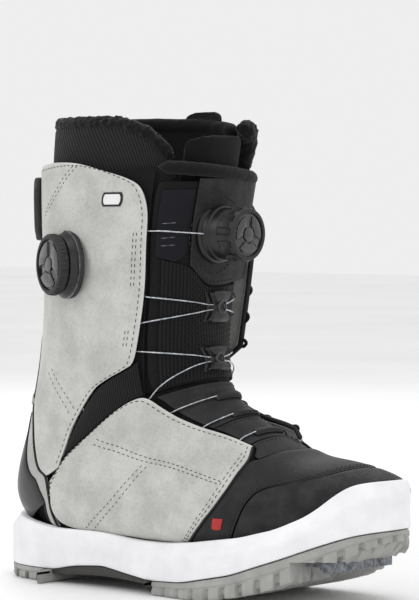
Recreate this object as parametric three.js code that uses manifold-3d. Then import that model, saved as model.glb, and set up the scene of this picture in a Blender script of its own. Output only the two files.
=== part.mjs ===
// Right snowboard boot, millimetres: +X to the toe, +Z up, -Y to the outer side.
// Upper pieces are panels laid on one boot last, each between two offsets from it.
import * as THREE from 'three';
import { mergeVertices } from 'three/addons/utils/BufferGeometryUtils.js';
import Module from 'manifold-3d';

const kernel = await Module();
kernel.setup();

// ---------- driving sizes ----------
const LENGTH = 1.0;              // scale of the last along the foot
const WIDTH = 1.0;               // scale of the last across the foot
const HEIGHT = 1.0;              // scale of the last's shaft above the sole
const GAP = 0.35;                // clearance between pieces that touch on the real boot
const LEATHER = 2.0;             // outer leather thickness
const OUTER = 1.0;               // outer face of the leather, off the last
const LACE_R = 0.5;              // steel lace radius
const LACE_ROOM = 2.1;           // space under the leather for the lace
const LINING = 2.2;              // shell lining thickness
const LINER = 6.0;               // removable liner's foam thickness
const TONGUE_ROOM = 0.8;         // extra space between tongue shell and liner tongue
const GUSSET = 0.5;              // tongue gusset's cloth
const FOOTBED = 3.0;             // removable footbed's thickness
const FLEECE = 3.0;              // fleece pile at the collar
const MIDSOLE_GAP = 0.6;         // room between the upper and the midsole's cup
const SEAM_V = 0.02;             // gap between neighbouring panels, along the last
const SEAM_A = 0.6;              // gap between neighbouring panels, round the last (deg)

const INNER = OUTER - LEATHER;               // leather's inner face
const LACE_AT = INNER - LACE_ROOM / 2;       // lace's centre line under the leather
const LINING_OUT = INNER - LACE_ROOM;
const LINING_IN = LINING_OUT - LINING;
const LINER_OUT = LINING_IN - 2 * GAP - GUSSET;
const LINER_IN = LINER_OUT - LINER;

// ---------- the last ----------
// name, front x z, back x z, half width outer inner, centre y, fullest point, front and back fullness
const STATIONS = [
  ['rim', 21, 292, -125, 290, 49, 47, 0, 0.50, 2.6, 2.3],
  ['top', 16, 264, -127, 262, 49, 47, 0, 0.50, 2.6, 2.3],
  ['cuff', 8, 228, -126, 226, 49, 47, 0, 0.50, 2.6, 2.3],
  ['shin', 4, 190, -125, 184, 47, 45, 0, 0.50, 2.5, 2.3],
  ['ankle', 2, 158, -130, 142, 46, 44, 0, 0.50, 2.4, 2.2],
  ['bend', 5, 138, -140, 100, 45, 44, 0, 0.52, 2.3, 2.2],
  ['heel', 14, 124, -147, 50, 44, 44, 0, 0.60, 2.2, 2.6],
  ['heel_low', 26, 114, -112, 27, 46, 45, 1, 0.62, 2.1, 3.0],
  ['arch', 39, 105, -35, 26, 50, 45, 3, 0.62, 2.1, 3.0],
  ['waist', 54, 96, 25, 26, 53, 46, 5, 0.62, 2.1, 3.0],
  ['ball', 74, 87, 62, 27, 53, 46, 8, 0.62, 2.1, 3.0],
  ['toe_1', 98, 83, 94, 35, 47, 43, 10, 0.60, 2.2, 3.0],
  ['toe_2', 118, 78, 113, 46, 36, 34, 12, 0.58, 2.3, 2.8],
  ['toe_3', 131, 73, 127, 55, 22, 21, 13, 0.55, 2.4, 2.4],
];
const SHAFT_FROM = 100;          // height above which HEIGHT stretches the last

const tall = (z) => (z > SHAFT_FROM ? SHAFT_FROM + (z - SHAFT_FROM) * HEIGHT : z);
const ROWS = STATIONS.map((s) => [
  s[1] * LENGTH, tall(s[2]), s[3] * LENGTH, tall(s[4]), s[5] * WIDTH, s[6] * WIDTH, s[7] * WIDTH,
  s[8], s[9], s[10],
]);

function spline(list, t) {
  const last = list.length - 1;
  if (t < 0) return list[0].map((value, k) => value + (list[1][k] - value) * t);
  const i = Math.max(0, Math.min(Math.floor(t), last - 1));
  const f = t - i;
  const p0 = list[Math.max(i - 1, 0)];
  const p1 = list[i];
  const p2 = list[i + 1];
  const p3 = list[Math.min(i + 2, last)];
  return p1.map((_, k) => 0.5 * (2 * p1[k] + (p2[k] - p0[k]) * f
    + (2 * p0[k] - 5 * p1[k] + 4 * p2[k] - p3[k]) * f * f
    + (3 * p1[k] - p0[k] - 3 * p2[k] + p3[k]) * f * f * f));
}

// v: 0 at the cuff's top, 12 at the toe; a: degrees, 0 on the front ridge, + to the outer side
function onLast(v, a, off) {
  const [xf, zf, xb, zb, wl, wm, yc, full, pf, pb] = spline(ROWS, v + 1);
  const len = Math.hypot(xf - xb, zf - zb);
  const dx = (xf - xb) / len;
  const dz = (zf - zb) / len;
  const c = Math.cos(a * Math.PI / 180);
  const s = Math.sin(a * Math.PI / 180);
  const p = c > 0 ? pf : pb;
  const r = (Math.abs(c) ** p + Math.abs(s) ** p) ** (-1 / p);
  const along = ((c > 0 ? len * full : len * (1 - full)) + off) * r * c;
  const across = ((s > 0 ? wl : wm) + off) * r * s;
  return new THREE.Vector3(
    xf - dx * len * full + dx * along,
    yc - across,
    zf - dz * len * full + dz * along,
  );
}

// ---------- solids ----------
function geometryOf(positions, faces) {
  let volume = 0;
  const at = (i) => positions[i];
  faces.forEach(([a, b, c]) => {
    volume += at(a).dot(new THREE.Vector3().crossVectors(at(b), at(c)));
  });
  const flat = [];
  faces.forEach(([a, b, c]) => (volume > 0 ? flat.push(a, b, c) : flat.push(a, c, b)));
  const geometry = new THREE.BufferGeometry();
  geometry.setAttribute('position', new THREE.Float32BufferAttribute(positions.flatMap((p) => [p.x, p.y, p.z]), 3));
  geometry.setIndex(flat);
  return geometry;
}

// a sheet with two faces and a rim: at(s, t, k) gives its inner (k=0) and outer (k=1) points
function sheet(rows, cols, at) {
  const positions = [];
  const id = (k, i, j) => (k * (rows + 1) + i) * (cols + 1) + j;
  for (let k = 0; k < 2; k += 1) {
    for (let i = 0; i <= rows; i += 1) {
      for (let j = 0; j <= cols; j += 1) positions.push(at(i / rows, j / cols, k));
    }
  }
  const faces = [];
  const quad = (a, b, c, d) => faces.push([a, b, c], [a, c, d]);
  for (let i = 0; i < rows; i += 1) {
    for (let j = 0; j < cols; j += 1) {
      quad(id(1, i, j), id(1, i + 1, j), id(1, i + 1, j + 1), id(1, i, j + 1));
      quad(id(0, i, j), id(0, i, j + 1), id(0, i + 1, j + 1), id(0, i + 1, j));
    }
  }
  for (let i = 0; i < rows; i += 1) {
    quad(id(0, i, 0), id(0, i + 1, 0), id(1, i + 1, 0), id(1, i, 0));
    quad(id(1, i, cols), id(1, i + 1, cols), id(0, i + 1, cols), id(0, i, cols));
  }
  for (let j = 0; j < cols; j += 1) {
    quad(id(1, 0, j), id(1, 0, j + 1), id(0, 0, j + 1), id(0, 0, j));
    quad(id(0, rows, j), id(0, rows, j + 1), id(1, rows, j + 1), id(1, rows, j));
  }
  return geometryOf(positions, faces);
}

// a panel on the last: lines are outlines of [v, a] points, run across from the first to the last
function panel(lines, rows, cols, low, high) {
  const offset = (k, s, t) => {
    const side = k ? high : low;
    return typeof side === 'function' ? side(s, t) : side;
  };
  return sheet(rows, cols, (s, t, k) => {
    const line = lines.map((points) => spline(points, t * (points.length - 1)));
    const [v, a] = line.length === 2
      ? line[0].map((value, n) => value + (line[1][n] - value) * s)
      : spline(line, s * (line.length - 1));
    return onLast(v, a, offset(k, s, t));
  });
}

// closed socks of the last share their rings, so nested ones never touch
const RINGS = [0, 0.8, 1.6, 2.4, 3.2, 3.7, 4.1, 4.5, 4.8, 5.1, 5.35, 5.6, 5.85, 6.1, 6.6, 7.3, 8, 8.8, 9.6, 10.3, 10.9,
  11.4, 11.7];

// a closed sock of the last from v0 to v1; finer adds rings between the shared ones
function sock(v0, v1, off, around, finer = 1) {
  const all = RINGS.flatMap((v, i) => {
    const next = i + 1 < RINGS.length ? RINGS[i + 1] : v;
    return Array.from({ length: next > v ? finer : 1 }, (_, n) => v + ((next - v) * n) / finer);
  });
  const vs = [v0, ...all.filter((v) => v > v0 + 0.03 && v < v1 - 0.03), v1];
  const rings = vs.length - 1;
  const positions = [];
  for (let i = 0; i <= rings; i += 1) {
    const v = vs[i];
    for (let j = 0; j < around; j += 1) positions.push(onLast(v, (360 * j) / around, off));
  }
  const faces = [];
  const id = (i, j) => i * around + (j % around);
  for (let i = 0; i < rings; i += 1) {
    for (let j = 0; j < around; j += 1) {
      faces.push([id(i, j), id(i + 1, j), id(i + 1, j + 1)], [id(i, j), id(i + 1, j + 1), id(i, j + 1)]);
    }
  }
  [[0, 0], [rings, 1]].forEach(([ring, back]) => {
    const middle = new THREE.Vector3();
    for (let j = 0; j < around; j += 1) middle.add(positions[id(ring, j)]);
    positions.push(middle.divideScalar(around));
    const hub = positions.length - 1;
    for (let j = 0; j < around; j += 1) {
      const edge = [id(ring, j), id(ring, j + 1)];
      faces.push(back ? [hub, edge[1], edge[0]] : [hub, edge[0], edge[1]]);
    }
  });
  return geometryOf(positions, faces);
}

function toSolid(geometry) {
  const bare = new THREE.BufferGeometry();
  bare.setAttribute('position', geometry.getAttribute('position').clone());
  if (geometry.index) bare.setIndex(geometry.index.clone());
  const welded = mergeVertices(bare, 1e-3);
  return new kernel.Manifold(new kernel.Mesh({
    numProp: 3,
    vertProperties: new Float32Array(welded.getAttribute('position').array),
    triVerts: new Uint32Array(welded.index.array),
  }));
}

function fromSolid(solid) {
  const mesh = solid.getMesh();
  const geometry = new THREE.BufferGeometry();
  geometry.setAttribute('position', new THREE.Float32BufferAttribute(mesh.vertProperties, 3));
  geometry.setIndex(Array.from(mesh.triVerts));
  return geometry;
}

function cut(geometry, ...tools) {
  let solid = toSolid(geometry);
  tools.forEach((tool) => { solid = solid.subtract(toSolid(tool)); });
  return fromSolid(solid);
}

function meet(geometry, other) {
  return fromSolid(toSolid(geometry).intersect(toSolid(other)));
}

function join(...pieces) {
  return fromSolid(pieces.map(toSolid).reduce((a, b) => a.add(b)));
}

function tube(points, radius, steps, sides = 6) {
  const path = new THREE.CatmullRomCurve3(points, false, 'centripetal');
  const section = new THREE.Shape();
  for (let i = 0; i < sides; i += 1) {
    const turn = (2 * Math.PI * i) / sides;
    const x = radius * Math.cos(turn);
    const y = radius * Math.sin(turn);
    if (i) section.lineTo(x, y);
    else section.moveTo(x, y);
  }
  return new THREE.ExtrudeGeometry(section, { steps, bevelEnabled: false, extrudePath: path, curveSegments: 1 });
}

function revolved(profile, segments = 32) {
  const closed = [...profile, profile[0]].map(([r, z]) => new THREE.Vector2(r, z));
  const geometry = new THREE.LatheGeometry(closed, segments);
  geometry.rotateX(Math.PI / 2);
  return geometry;
}

function box(x0, x1, y0, y1, z0, z1) {
  const geometry = new THREE.BoxGeometry(x1 - x0, y1 - y0, z1 - z0);
  geometry.translate((x0 + x1) / 2, (y0 + y1) / 2, (z0 + z1) / 2);
  return geometry;
}

function cylinder(radius, z0, z1, segments = 24) {
  return revolved([[0, z0], [radius, z0], [radius, z1], [0, z1]], segments);
}

// ---------- assembly helpers ----------
const group = new THREE.Group();
group.name = 'snowboard_boot';

function add(name, geometry, colour) {
  const mesh = new THREE.Mesh(geometry, new THREE.MeshStandardMaterial({ color: colour }));
  mesh.name = name;
  mesh.geometry.computeVertexNormals();
  group.add(mesh);
}

const flip = (points) => points.map(([v, a]) => [v, -a]);
const mirrored = (points) => [...points.slice(1).reverse().map(([v, a]) => [v, 360 - a]), ...points];
const overFront = (points) => [...points, ...flip(points).slice(0, -1).reverse()];
const shifted = (points, dv, da) => points.map(([v, a]) => [v + dv, a + da]);

function addPair(name, lines, rows, cols, low, high, colour) {
  add(`${name}_outer`, panel(lines, rows, cols, low, high), colour);
  add(`${name}_inner`, panel(lines.map(flip), rows, cols, low, high), colour);
}

// ---------- sole ----------
const OUTLINE = [[-156, 0], [-150, -22], [-133, -37], [-104, -43], [-65, -44], [-22, -48], [22, -54], [58, -56],
  [88, -52], [112, -39], [131, -19], [138, 6], [132, 30], [112, 45], [82, 50], [45, 50], [5, 44], [-40, 38],
  [-85, 39], [-120, 39], [-145, 26]];
const MIDSOLE_TOP = [[-160, 43], [-154, 41.5], [-117, 37], [-100, 34.8], [-58, 35.2], [-27, 32], [0, 32], [27, 34.5],
  [71, 40.5], [95, 46.5], [112, 55], [122, 64.5], [128, 71.5], [134, 75], [142, 75]];
const MIDSOLE_LOW = [[-160, 15], [-150, 10.5], [-140, 8.5], [-97, 8.5], [-80, 12], [-54, 14], [-32, 11], [-11, 8.5],
  [19, 10], [60, 18], [94, 29.5], [118, 39.5], [131, 44.5], [142, 46]];
const GROUND = [[-160, 10], [-150, 5], [-141, 0], [35, 0], [66, 5], [87, 10.5], [110, 20], [128, 31], [142, 42]];
const OUTSOLE_STEP = 0.8;        // the outsole's edge stands in from the midsole's
const HEEL_BLOCK_END = -98;      // x where the heel block stops
const FORE_BLOCK_START = -8;     // x where the forefoot block starts
const CLEAT_SLOT = [99, 121];    // x range of the steel cleat's recess
const CLEAT_DEPTH = 8;
const CLEAT_T = 3;               // steel cleat's thickness
const SCREW_R = 2;
const SOLE_GAP = 0.5;            // clearance between midsole and outsole

function plan(inset, z0, z1) {
  const curve = new THREE.CatmullRomCurve3(
    OUTLINE.map(([x, y]) => new THREE.Vector3(x * LENGTH, y * WIDTH, 0)), true);
  const ring = curve.getPoints(63).slice(0, -1);
  const centre = new THREE.Vector3(-9 * LENGTH, 0, 0);
  const shape = new THREE.Shape();
  ring.forEach((p, i) => {
    const inward = new THREE.Vector3().subVectors(centre, p);
    inward.setLength(inset);
    const x = p.x + inward.x;
    const y = p.y + inward.y;
    if (i) shape.lineTo(x, y);
    else shape.moveTo(x, y);
  });
  const geometry = new THREE.ExtrudeGeometry(shape, { depth: z1 - z0, bevelEnabled: false, steps: 1 });
  geometry.translate(0, 0, z0);
  return geometry;
}

function sideProfile(top, low, dTop, dLow, x0, x1) {
  const height = (list, x) => {
    const i = Math.max(0, Math.min(list.findIndex((p) => p[0] * LENGTH >= x) - 1, list.length - 2));
    const [xa, za] = list[i];
    const [xb, zb] = list[i + 1];
    return za + ((zb - za) * (x - xa * LENGTH)) / ((xb - xa) * LENGTH);
  };
  const steps = 28;
  const shape = new THREE.Shape();
  for (let i = 0; i <= steps; i += 1) {
    const x = x0 + ((x1 - x0) * i) / steps;
    if (i) shape.lineTo(x, height(low, x) + dLow);
    else shape.moveTo(x, height(low, x) + dLow);
  }
  for (let i = steps; i >= 0; i -= 1) {
    const x = x0 + ((x1 - x0) * i) / steps;
    shape.lineTo(x, height(top, x) + dTop);
  }
  const half = 70 * WIDTH;
  const geometry = new THREE.ExtrudeGeometry(shape, { depth: 2 * half, bevelEnabled: false, steps: 1 });
  geometry.rotateX(Math.PI / 2);
  geometry.translate(0, half, 0);
  return geometry;
}

function addSole() {
  const reach = 160 * LENGTH;
  const cup = meet(plan(0, -5, 95), sideProfile(MIDSOLE_TOP, MIDSOLE_LOW, 0, 0, -reach, 142 * LENGTH));
  add('midsole', cut(cup, sock(4.0, 12, OUTER + MIDSOLE_GAP, 40, 2)), 0xf2f2f4);

  const tread = (x0, x1) => meet(
    plan(OUTSOLE_STEP, -5, 95),
    sideProfile(MIDSOLE_LOW, GROUND, -SOLE_GAP, 0, x0 * LENGTH, x1 * LENGTH),
  );
  const grooves = [];
  for (let x = -132; x < -104; x += 12) grooves.push(box(x * LENGTH, x * LENGTH + 3, -70, 70, -2, 2.5));
  add('outsole_heel', cut(tread(-160, HEEL_BLOCK_END), ...grooves), 0xb4b4b0);

  const slot = box(CLEAT_SLOT[0] * LENGTH, CLEAT_SLOT[1] * LENGTH, -70 * WIDTH, 70 * WIDTH, -5, 24 + 0.5 * CLEAT_DEPTH);
  const fore = [slot];
  for (let x = 14; x < 96; x += 14) fore.push(box(x * LENGTH, x * LENGTH + 3, -70, 70, -2, 2.5 + Math.max(0, x - 35) * 0.19));
  fore.push(box(6 * LENGTH, 96 * LENGTH, -2, 2, -2, 1.5));
  add('outsole_forefoot', cut(tread(FORE_BLOCK_START, 142), ...fore), 0xb4b4b0);

  const bridge = meet(
    plan(2.5, -5, 95),
    sideProfile(MIDSOLE_LOW, GROUND, -SOLE_GAP, 5, (HEEL_BLOCK_END * LENGTH + GAP), (FORE_BLOCK_START * LENGTH - GAP)),
  );
  add('arch_shank', bridge, 0x3c3b38);

  const [c0, c1] = CLEAT_SLOT.map((x) => x * LENGTH);
  const roof = 24 + 0.5 * CLEAT_DEPTH;
  const plate = box(c0 + 3, c1 - 3, -34 * WIDTH, 30 * WIDTH, roof - GAP - CLEAT_T, roof - GAP);
  const bar = box(c1 - 7.5, c1 - 3, -34 * WIDTH, 30 * WIDTH, roof - GAP - CLEAT_T - 3.5, roof - GAP - CLEAT_T + 0.2);
  const spots = [-22, 18].map((y) => [(c0 + c1) / 2 - 2.5, y * WIDTH]);
  const holes = spots.map(([x, y]) => cylinder(SCREW_R + 0.3, roof - 12, roof + 4, 12).translate(x, y, 0));
  add('cleat_plate', cut(join(plate, bar), ...holes), 0x9aa0aa);
  spots.forEach(([x, y], i) => {
    const low = roof - GAP - CLEAT_T - 0.3;
    const screw = revolved([[0, low - 2], [3.6, low - 2], [4.2, low - 1], [4.2, low], [SCREW_R, low], [SCREW_R, roof - GAP], [0, roof - GAP]], 12);
    add(`cleat_screw_${i + 1}`, screw.translate(x, y, 0), 0xb9bcc0);
  });
}


// ---------- shell panels ----------
const GREY = 0xb6b6b2;
const BLACK = 0x2a2a2b;
const CUFF_FRONT = [[0.05, 84], [0.2, 69], [0.38, 60], [0.8, 54.5], [1.4, 54], [2.1, 54.5], [2.8, 56.5], [3.42, 59.5],
  [3.58, 64], [3.72, 73], [3.88, 81], [4.15, 86.5], [4.47, 90], [4.8, 92], [5.08, 97]];
const CUFF_REAR = [[0.0, 152], [0.25, 153], [0.5, 154], [0.9, 154], [1.4, 154], [2.1, 152], [2.7, 147], [3.2, 143.5],
  [3.5, 142.5], [3.75, 141], [4.0, 134.5], [4.25, 126.5], [4.6, 117], [4.9, 111], [5.1, 106.5]];
const STAY_TOP = [[2.62, 180], [2.62, 165], [2.64, 154], [2.75, 147.5], [3.2, 144.1], [3.5, 143.1], [3.75, 141.6],
  [4.0, 135.1], [4.25, 127.1], [4.6, 117.6], [4.9, 111.6], [5.13, 107.4], [5.5, 112], [5.85, 122], [6.05, 130]];
const COUNTER = [[3.88, 180], [3.88, 168], [3.88, 158], [3.9, 150.6], [4.0, 146], [4.2, 139.5], [4.4, 133],
  [4.6, 127.5], [4.8, 122], [4.95, 118], [5.05, 115.6], [5.25, 115.2], [5.55, 117.6], [5.88, 128.6], [6.08, 134.6]];
const QUARTER_TOP = [[5.24, 105.6], [5.13, 99], [5.0, 93], [4.87, 86], [4.75, 79], [4.62, 73], [4.5, 67], [4.41, 60],
  [4.42, 54], [4.6, 49.3], [5.0, 44], [5.5, 40], [6.05, 36.5], [6.7, 33], [7.3, 30], [7.85, 27.8]];
const QUARTER_LOW = [[5.5, 110.6], [5.62, 113.5], [5.8, 119], [6.0, 124], [6.2, 127], [6.4, 129], [6.6, 130.5],
  [6.75, 131.5], [6.9, 132], [7.0, 132.5], [7.1, 133], [7.25, 133.5], [7.4, 133.5], [7.5, 133.5], [7.6, 133.5],
  [7.7, 133.5]];
const QUARTER_FRONT = [[7.85, 27.8], [8.14, 40], [8.2, 53.5], [8.2, 67], [8.12, 80], [8.0, 93], [7.92, 106],
  [7.82, 120], [7.7, 133.5]];
const VAMP_REAR = [[7.76, 133.5], [7.88, 120], [7.98, 106], [8.06, 93], [8.18, 80], [8.26, 67], [8.26, 53],
  [8.24, 41], [8.4, 33.5], [8.54, 17], [8.64, 0]];
const TOE_SEAM = [[8.5, 133.5], [8.6, 122], [8.68, 108], [8.74, 90], [8.84, 72], [9.02, 60], [9.4, 53], [9.85, 47],
  [10.25, 36], [10.45, 20], [10.5, 0]];
const TOE_V = 11.9;              // where the upper ends, behind the toe bumper
const TOE_END = [[TOE_V, 133.5], [TOE_V, 110], [TOE_V, 90], [TOE_V, 70], [TOE_V, 55], [TOE_V, 45], [TOE_V, 35], [TOE_V, 25], [TOE_V, 16],
  [TOE_V, 8], [TOE_V, 0]];
const GUSSET_UP = [[3.45, 57], [3.61, 62.6], [3.755, 72], [3.92, 79.6], [4.18, 85.1], [4.5, 88.6], [4.84, 90.8],
  [4.98, 93.8]];
const GUSSET_DOWN = [[4.35, 54], [4.37, 60], [4.46, 67], [4.58, 73], [4.71, 79], [4.83, 86], [4.93, 91.6], [5.01, 94.6]];
const MESH_T = 1.0;              // woven gusset's thickness

function addShellPanels() {
  const pairs = (a, b) => a.map((point, i) => [point, b[i]]);
  const cuff = pairs(CUFF_FRONT, CUFF_REAR);
  const crown = [[0.05, 84], [-0.09, 101], [-0.12, 118], [-0.08, 135], [0.0, 152]];
  const cuffPanel = panel([crown, ...cuff.slice(1)], 14, 9, INNER, OUTER);
  const dial = DIALS[1];
  const hole = cylinder(dial.boss + GAP, -9, 9, 20).applyMatrix4(placeOf(dial));
  add('cuff_outer', cut(cuffPanel, hole), GREY);
  add('cuff_inner', panel([flip(crown), ...cuff.slice(1).map(flip)], 14, 9, INNER, OUTER), GREY);

  const quarter = pairs(QUARTER_TOP, QUARTER_LOW);
  addPair('quarter', [...quarter.slice(0, -1), QUARTER_FRONT], 15, 8, INNER, OUTER, GREY);
  addPair('ankle_gusset', pairs(GUSSET_UP, GUSSET_DOWN), 7, 3, INNER, INNER + MESH_T, 0x1d1d1e);

  add('backstay', panel([mirrored(shifted(STAY_TOP, 0.01, 0.4)), mirrored(COUNTER)], 3, 28, INNER, OUTER - 0.4), 0xa9a9a6);
  const lower = shifted(COUNTER.slice(3, 13), SEAM_V, SEAM_A + 0.2);
  const counter = lower.map(([v, a]) => [[v, a], [v, 360 - a]]);
  add('heel_counter', panel(counter, 9, 14, INNER, OUTER), 0x3a3a3a);
  const spine = [[0.03, 154.8], [0.5, 155], [1.0, 155], [1.6, 155], [2.2, 153], [2.57, 150.4]];
  add('spine_panel', panel(spine.map(([v, a]) => [[v, a], [v, 360 - a]]), 6, 6, INNER, OUTER), BLACK);
  const swell = (s, t) => OUTER + GAP + 1.2 + 4.6 * Math.sin(Math.PI * s) ** 0.6 * Math.sin(Math.PI * t) ** 0.6;
  const pad = [[[0.12, 152], [0.12, 208]], [[1.25, 154], [1.25, 206]]];
  add('spine_pad', panel(pad, 7, 7, OUTER + GAP, swell), BLACK);

  const vamp = [overFront(VAMP_REAR), overFront(shifted(TOE_SEAM, -SEAM_V, 0))];
  add('vamp', panel(vamp, 5, 20, INNER, OUTER), 0x262627);
  const toe = [overFront(shifted(TOE_SEAM, SEAM_V, 0)), overFront(TOE_END)];
  add('toe_cap', panel(toe, 8, 20, INNER, OUTER), 0x303031);

  const footPrint = [[[6.0, 142], [6.0, 218]], [[7, 144], [7, 216]], [[8.5, 142], [8.5, 218]], [[10, 142], [10, 218]],
    [[11.6, 142], [11.6, 218]]];
  add('lasting_board', panel(footPrint, 12, 4, INNER - 0.6, OUTER - 0.5), 0x8a7a5c);
}

// ---------- lining, liner and their tongue ----------
const HINGE_V = 4.38;            // the tongue folds here, at the bend of the instep
const TONGUE_TOP = 0.28;         // where the tongue shell ends below its piping
const TONGUE_EDGE = [[TONGUE_TOP, 50], [0.5, 51.5], [0.9, 51.5], [1.6, 51.5], [2.4, 51.5], [3.2, 51.5], [3.9, 51],
  [HINGE_V - SEAM_V, 48]];
const SLOT_EDGE = 53.6;          // half angle of the lining's front slot
const AROUND = 20;               // facets round each sock
const LINER_SLOT = 40;           // half angle of the liner's front slot

function addInsides() {
  const slotTool = panel([[[-1.2, -SLOT_EDGE], [-1.2, SLOT_EDGE]], [[HINGE_V, -SLOT_EDGE], [HINGE_V, SLOT_EDGE]]],
    10, 8, LINING_IN - 4, OUTER + 3);
  add('shell_lining', cut(sock(0.05, TOE_V, LINING_OUT, AROUND), sock(-0.6, 11.7, LINING_IN, AROUND), slotTool), 0x202021);

  const throat = panel([[[-2.0, -LINER_SLOT], [-2.0, LINER_SLOT]], [[4.15, -LINER_SLOT], [4.15, LINER_SLOT]]],
    10, 8, LINER_IN - 5, LINER_OUT + 4);
  const outer = sock(-0.72, 11.2, LINER_OUT, AROUND);
  const inner = sock(-1.4, 10.75, LINER_IN, AROUND);
  add('liner', cut(outer, inner, throat), 0x1b1b1c);

  const ring = (v) => [[v, LINER_SLOT + 0.6], [v, 360 - LINER_SLOT - 0.6]];
  const puff = (s) => LINER_OUT + 0.6 * Math.sin(Math.PI * s);
  add('liner_collar', panel([ring(-0.98), ring(-0.745)], 4, 28, LINER_IN - FLEECE, puff), 0x141414);

  const tab = [[[-1.24, 268], [-1.24, 278]], [[-1.15, 263], [-1.15, 283]], [[-0.995, 260], [-0.995, 286]]];
  add('liner_pull_tab', panel(tab, 4, 6, LINER_IN + 1.2, LINER_IN + 3.4), 0x1a1a1a);

  const half = LINER_SLOT - 1.6;
  const tongue = [[[-0.95, -half + 6], [-0.95, half - 6]], [[-0.7, -half], [-0.7, half]], [[2, -half], [2, half]],
    [[4.08, -half], [4.08, half]]];
  add('liner_tongue', panel(tongue, 12, 7, LINER_IN, LINER_OUT - TONGUE_ROOM), 0x222223);

  const bed = [[[6.0, 150], [6.0, 210]], [[7, 150], [7, 210]], [[8.5, 150], [8.5, 210]], [[10.2, 150], [10.2, 210]]];
  add('footbed', panel(bed, 10, 4, LINER_IN - 2 - FOOTBED, LINER_IN - 2), 0x555a60);
}

// ---------- tongue ----------
const TONGUE_OUT = LINING_OUT + 1.0;         // outer face of the tongue shell
const ON_TONGUE = TONGUE_OUT + 0.75;          // what is sewn on the tongue starts here
const MESH_OUT = ON_TONGUE + 1.0;
const PIPING_R = 3.4;
const PIPING_V = 0.15;
const GUIDES = [
  { name: 'upper', v: [2.1, 2.7], a: [11, -15], lanes: [2.35, 2.45] },
  { name: 'lower', v: [3.25, 4.1], a: [14, -12], lanes: [3.6, 3.76] },
];
const GUIDE_T = 4.6;
const LANE_AT = MESH_OUT + GAP + 1.7;        // height of a lace lane through a guide
const LANE_R = LACE_R + 0.5;

const lane = (v, from, to) => tube([0, 1, 2, 3, 4].map((i) => onLast(v, from + ((to - from) * i) / 4, LANE_AT)), LANE_R, 8, 8);

function addTongue() {
  const across = (points) => points.map(([v, a]) => [[v, a], [v, -a]]);
  add('tongue_shell', panel(across(TONGUE_EDGE), 15, 12, LINING_IN, TONGUE_OUT), 0x242425);
  const leatherLow = [[1.66, 26.5], [1.96, 12], [2.01, -1], [1.96, -24], [1.9, -46]];
  const leatherTop = leatherLow.map(([, a]) => [0.42, a]);
  add('tongue_leather', panel([leatherTop, leatherLow], 6, 10, ON_TONGUE, ON_TONGUE + 1.6), 0x2b2b2c);
  add('tongue_label', panel([[[0.42, 48], [0.42, 27.6]], [[1.5, 48.5], [1.62, 27.6]]], 5, 3, ON_TONGUE,
    ON_TONGUE + 0.7), 0x15151c);
  const meshTop = [[1.56, 45], [1.7, 26.5], [2.0, 12], [2.05, -1], [2.0, -24], [1.94, -45]];
  const meshLow = meshTop.map(([, a]) => [4.3, a]);
  add('tongue_mesh', panel([meshTop, meshLow], 10, 9, ON_TONGUE, MESH_OUT), 0x161617);
  const rim = [-50, -42, -32, -22, -11, 0, 11, 22, 32, 42, 50];
  const piping = rim.map((a) => onLast(PIPING_V, a, (LINING_IN + TONGUE_OUT) / 2));
  add('tongue_piping', tube(piping, PIPING_R, 18, 10), 0x121212);
  GUIDES.forEach((guide) => {
    const [a0, a1] = guide.a;
    const [v0, v1] = guide.v;
    const waist = 2.6;
    const lines = [[[v0, a0], [v0, a1]], [[(v0 + v1) / 2, a0 - waist], [(v0 + v1) / 2, a1 + waist]], [[v1, a0], [v1, a1]]];
    const block = panel(lines, 4, 6, MESH_OUT + GAP, MESH_OUT + GAP + GUIDE_T);
    add(`lace_guide_${guide.name}`, cut(block, ...guide.lanes.map((v) => lane(v, a0 + 12, a1 - 12))), 0x111112);
  });
  const turn = 360 / AROUND;
  const fold = [2.5, 3, 4].map((n) => [0.4, 0.8, 1.6, 2.4, 3.2, 3.7, 4.1, 4.3].map((v) => [v, n * turn]));
  addPair('tongue_gusset', fold, 2, 7, LINING_IN - GAP - GUSSET, LINING_IN - GAP, 0x0e0e0f);
}

// ---------- instep straps ----------
const SCALE_T = 1.2;
const SCALE_LOW = LINING_OUT + 2 * GAP;
const SCALE_OUT = SCALE_LOW + SCALE_T;
const SCALES = [
  [[4.5, 47], [4.75, 43], [5.2, 38.6], [5.8, 34.6], [6.38, 31.2]],
  [[6.42, 31], [6.8, 29], [7.2, 27.4], [7.66, 25.4]],
];
const SCALE_LAST = [[7.7, 25.2], [7.85, 25], [8.0, 28], [8.14, 33.4]];
const TUNNELS = [{ v: 5.12, half: 0.2 }, { v: 6.16, half: 0.16 }, { v: 7.34, half: 0.16 }];
const TUNNEL_A = 15;
const TUNNEL_T = 2.3;
const CROSS_AT = SCALE_OUT + GAP + 0.4 + LACE_R;    // lace's centre over a strap

function addStraps() {
  const across = (points) => points.map(([v, a]) => [[v, a], [v, -a]]);
  SCALES.forEach((edge, i) => add(`instep_strap_${i + 1}`, panel(across(edge), 6, 8, SCALE_LOW, SCALE_OUT), 0x2c2c2d));
  const foot = [[8.3, 32.6], [8.42, 17], [8.52, 0], [8.42, -17], [8.3, -32.6]];
  add('instep_strap_3', panel([...across(SCALE_LAST), foot], 6, 8, SCALE_LOW, SCALE_OUT), 0x2c2c2d);
  TUNNELS.forEach(({ v, half }, i) => {
    const strap = panel(across([[v - half, TUNNEL_A], [v + half, TUNNEL_A]]), 2, 6, SCALE_OUT + GAP, SCALE_OUT + GAP + TUNNEL_T);
    const hole = tube([-24, -16, -8, 0, 8, 16, 24].map((a) => onLast(v, a, CROSS_AT + 0.3)), LANE_R, 10, 8);
    add(`lace_tunnel_${i + 1}`, cut(strap, hole), 0x262627);
  });
}

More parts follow.
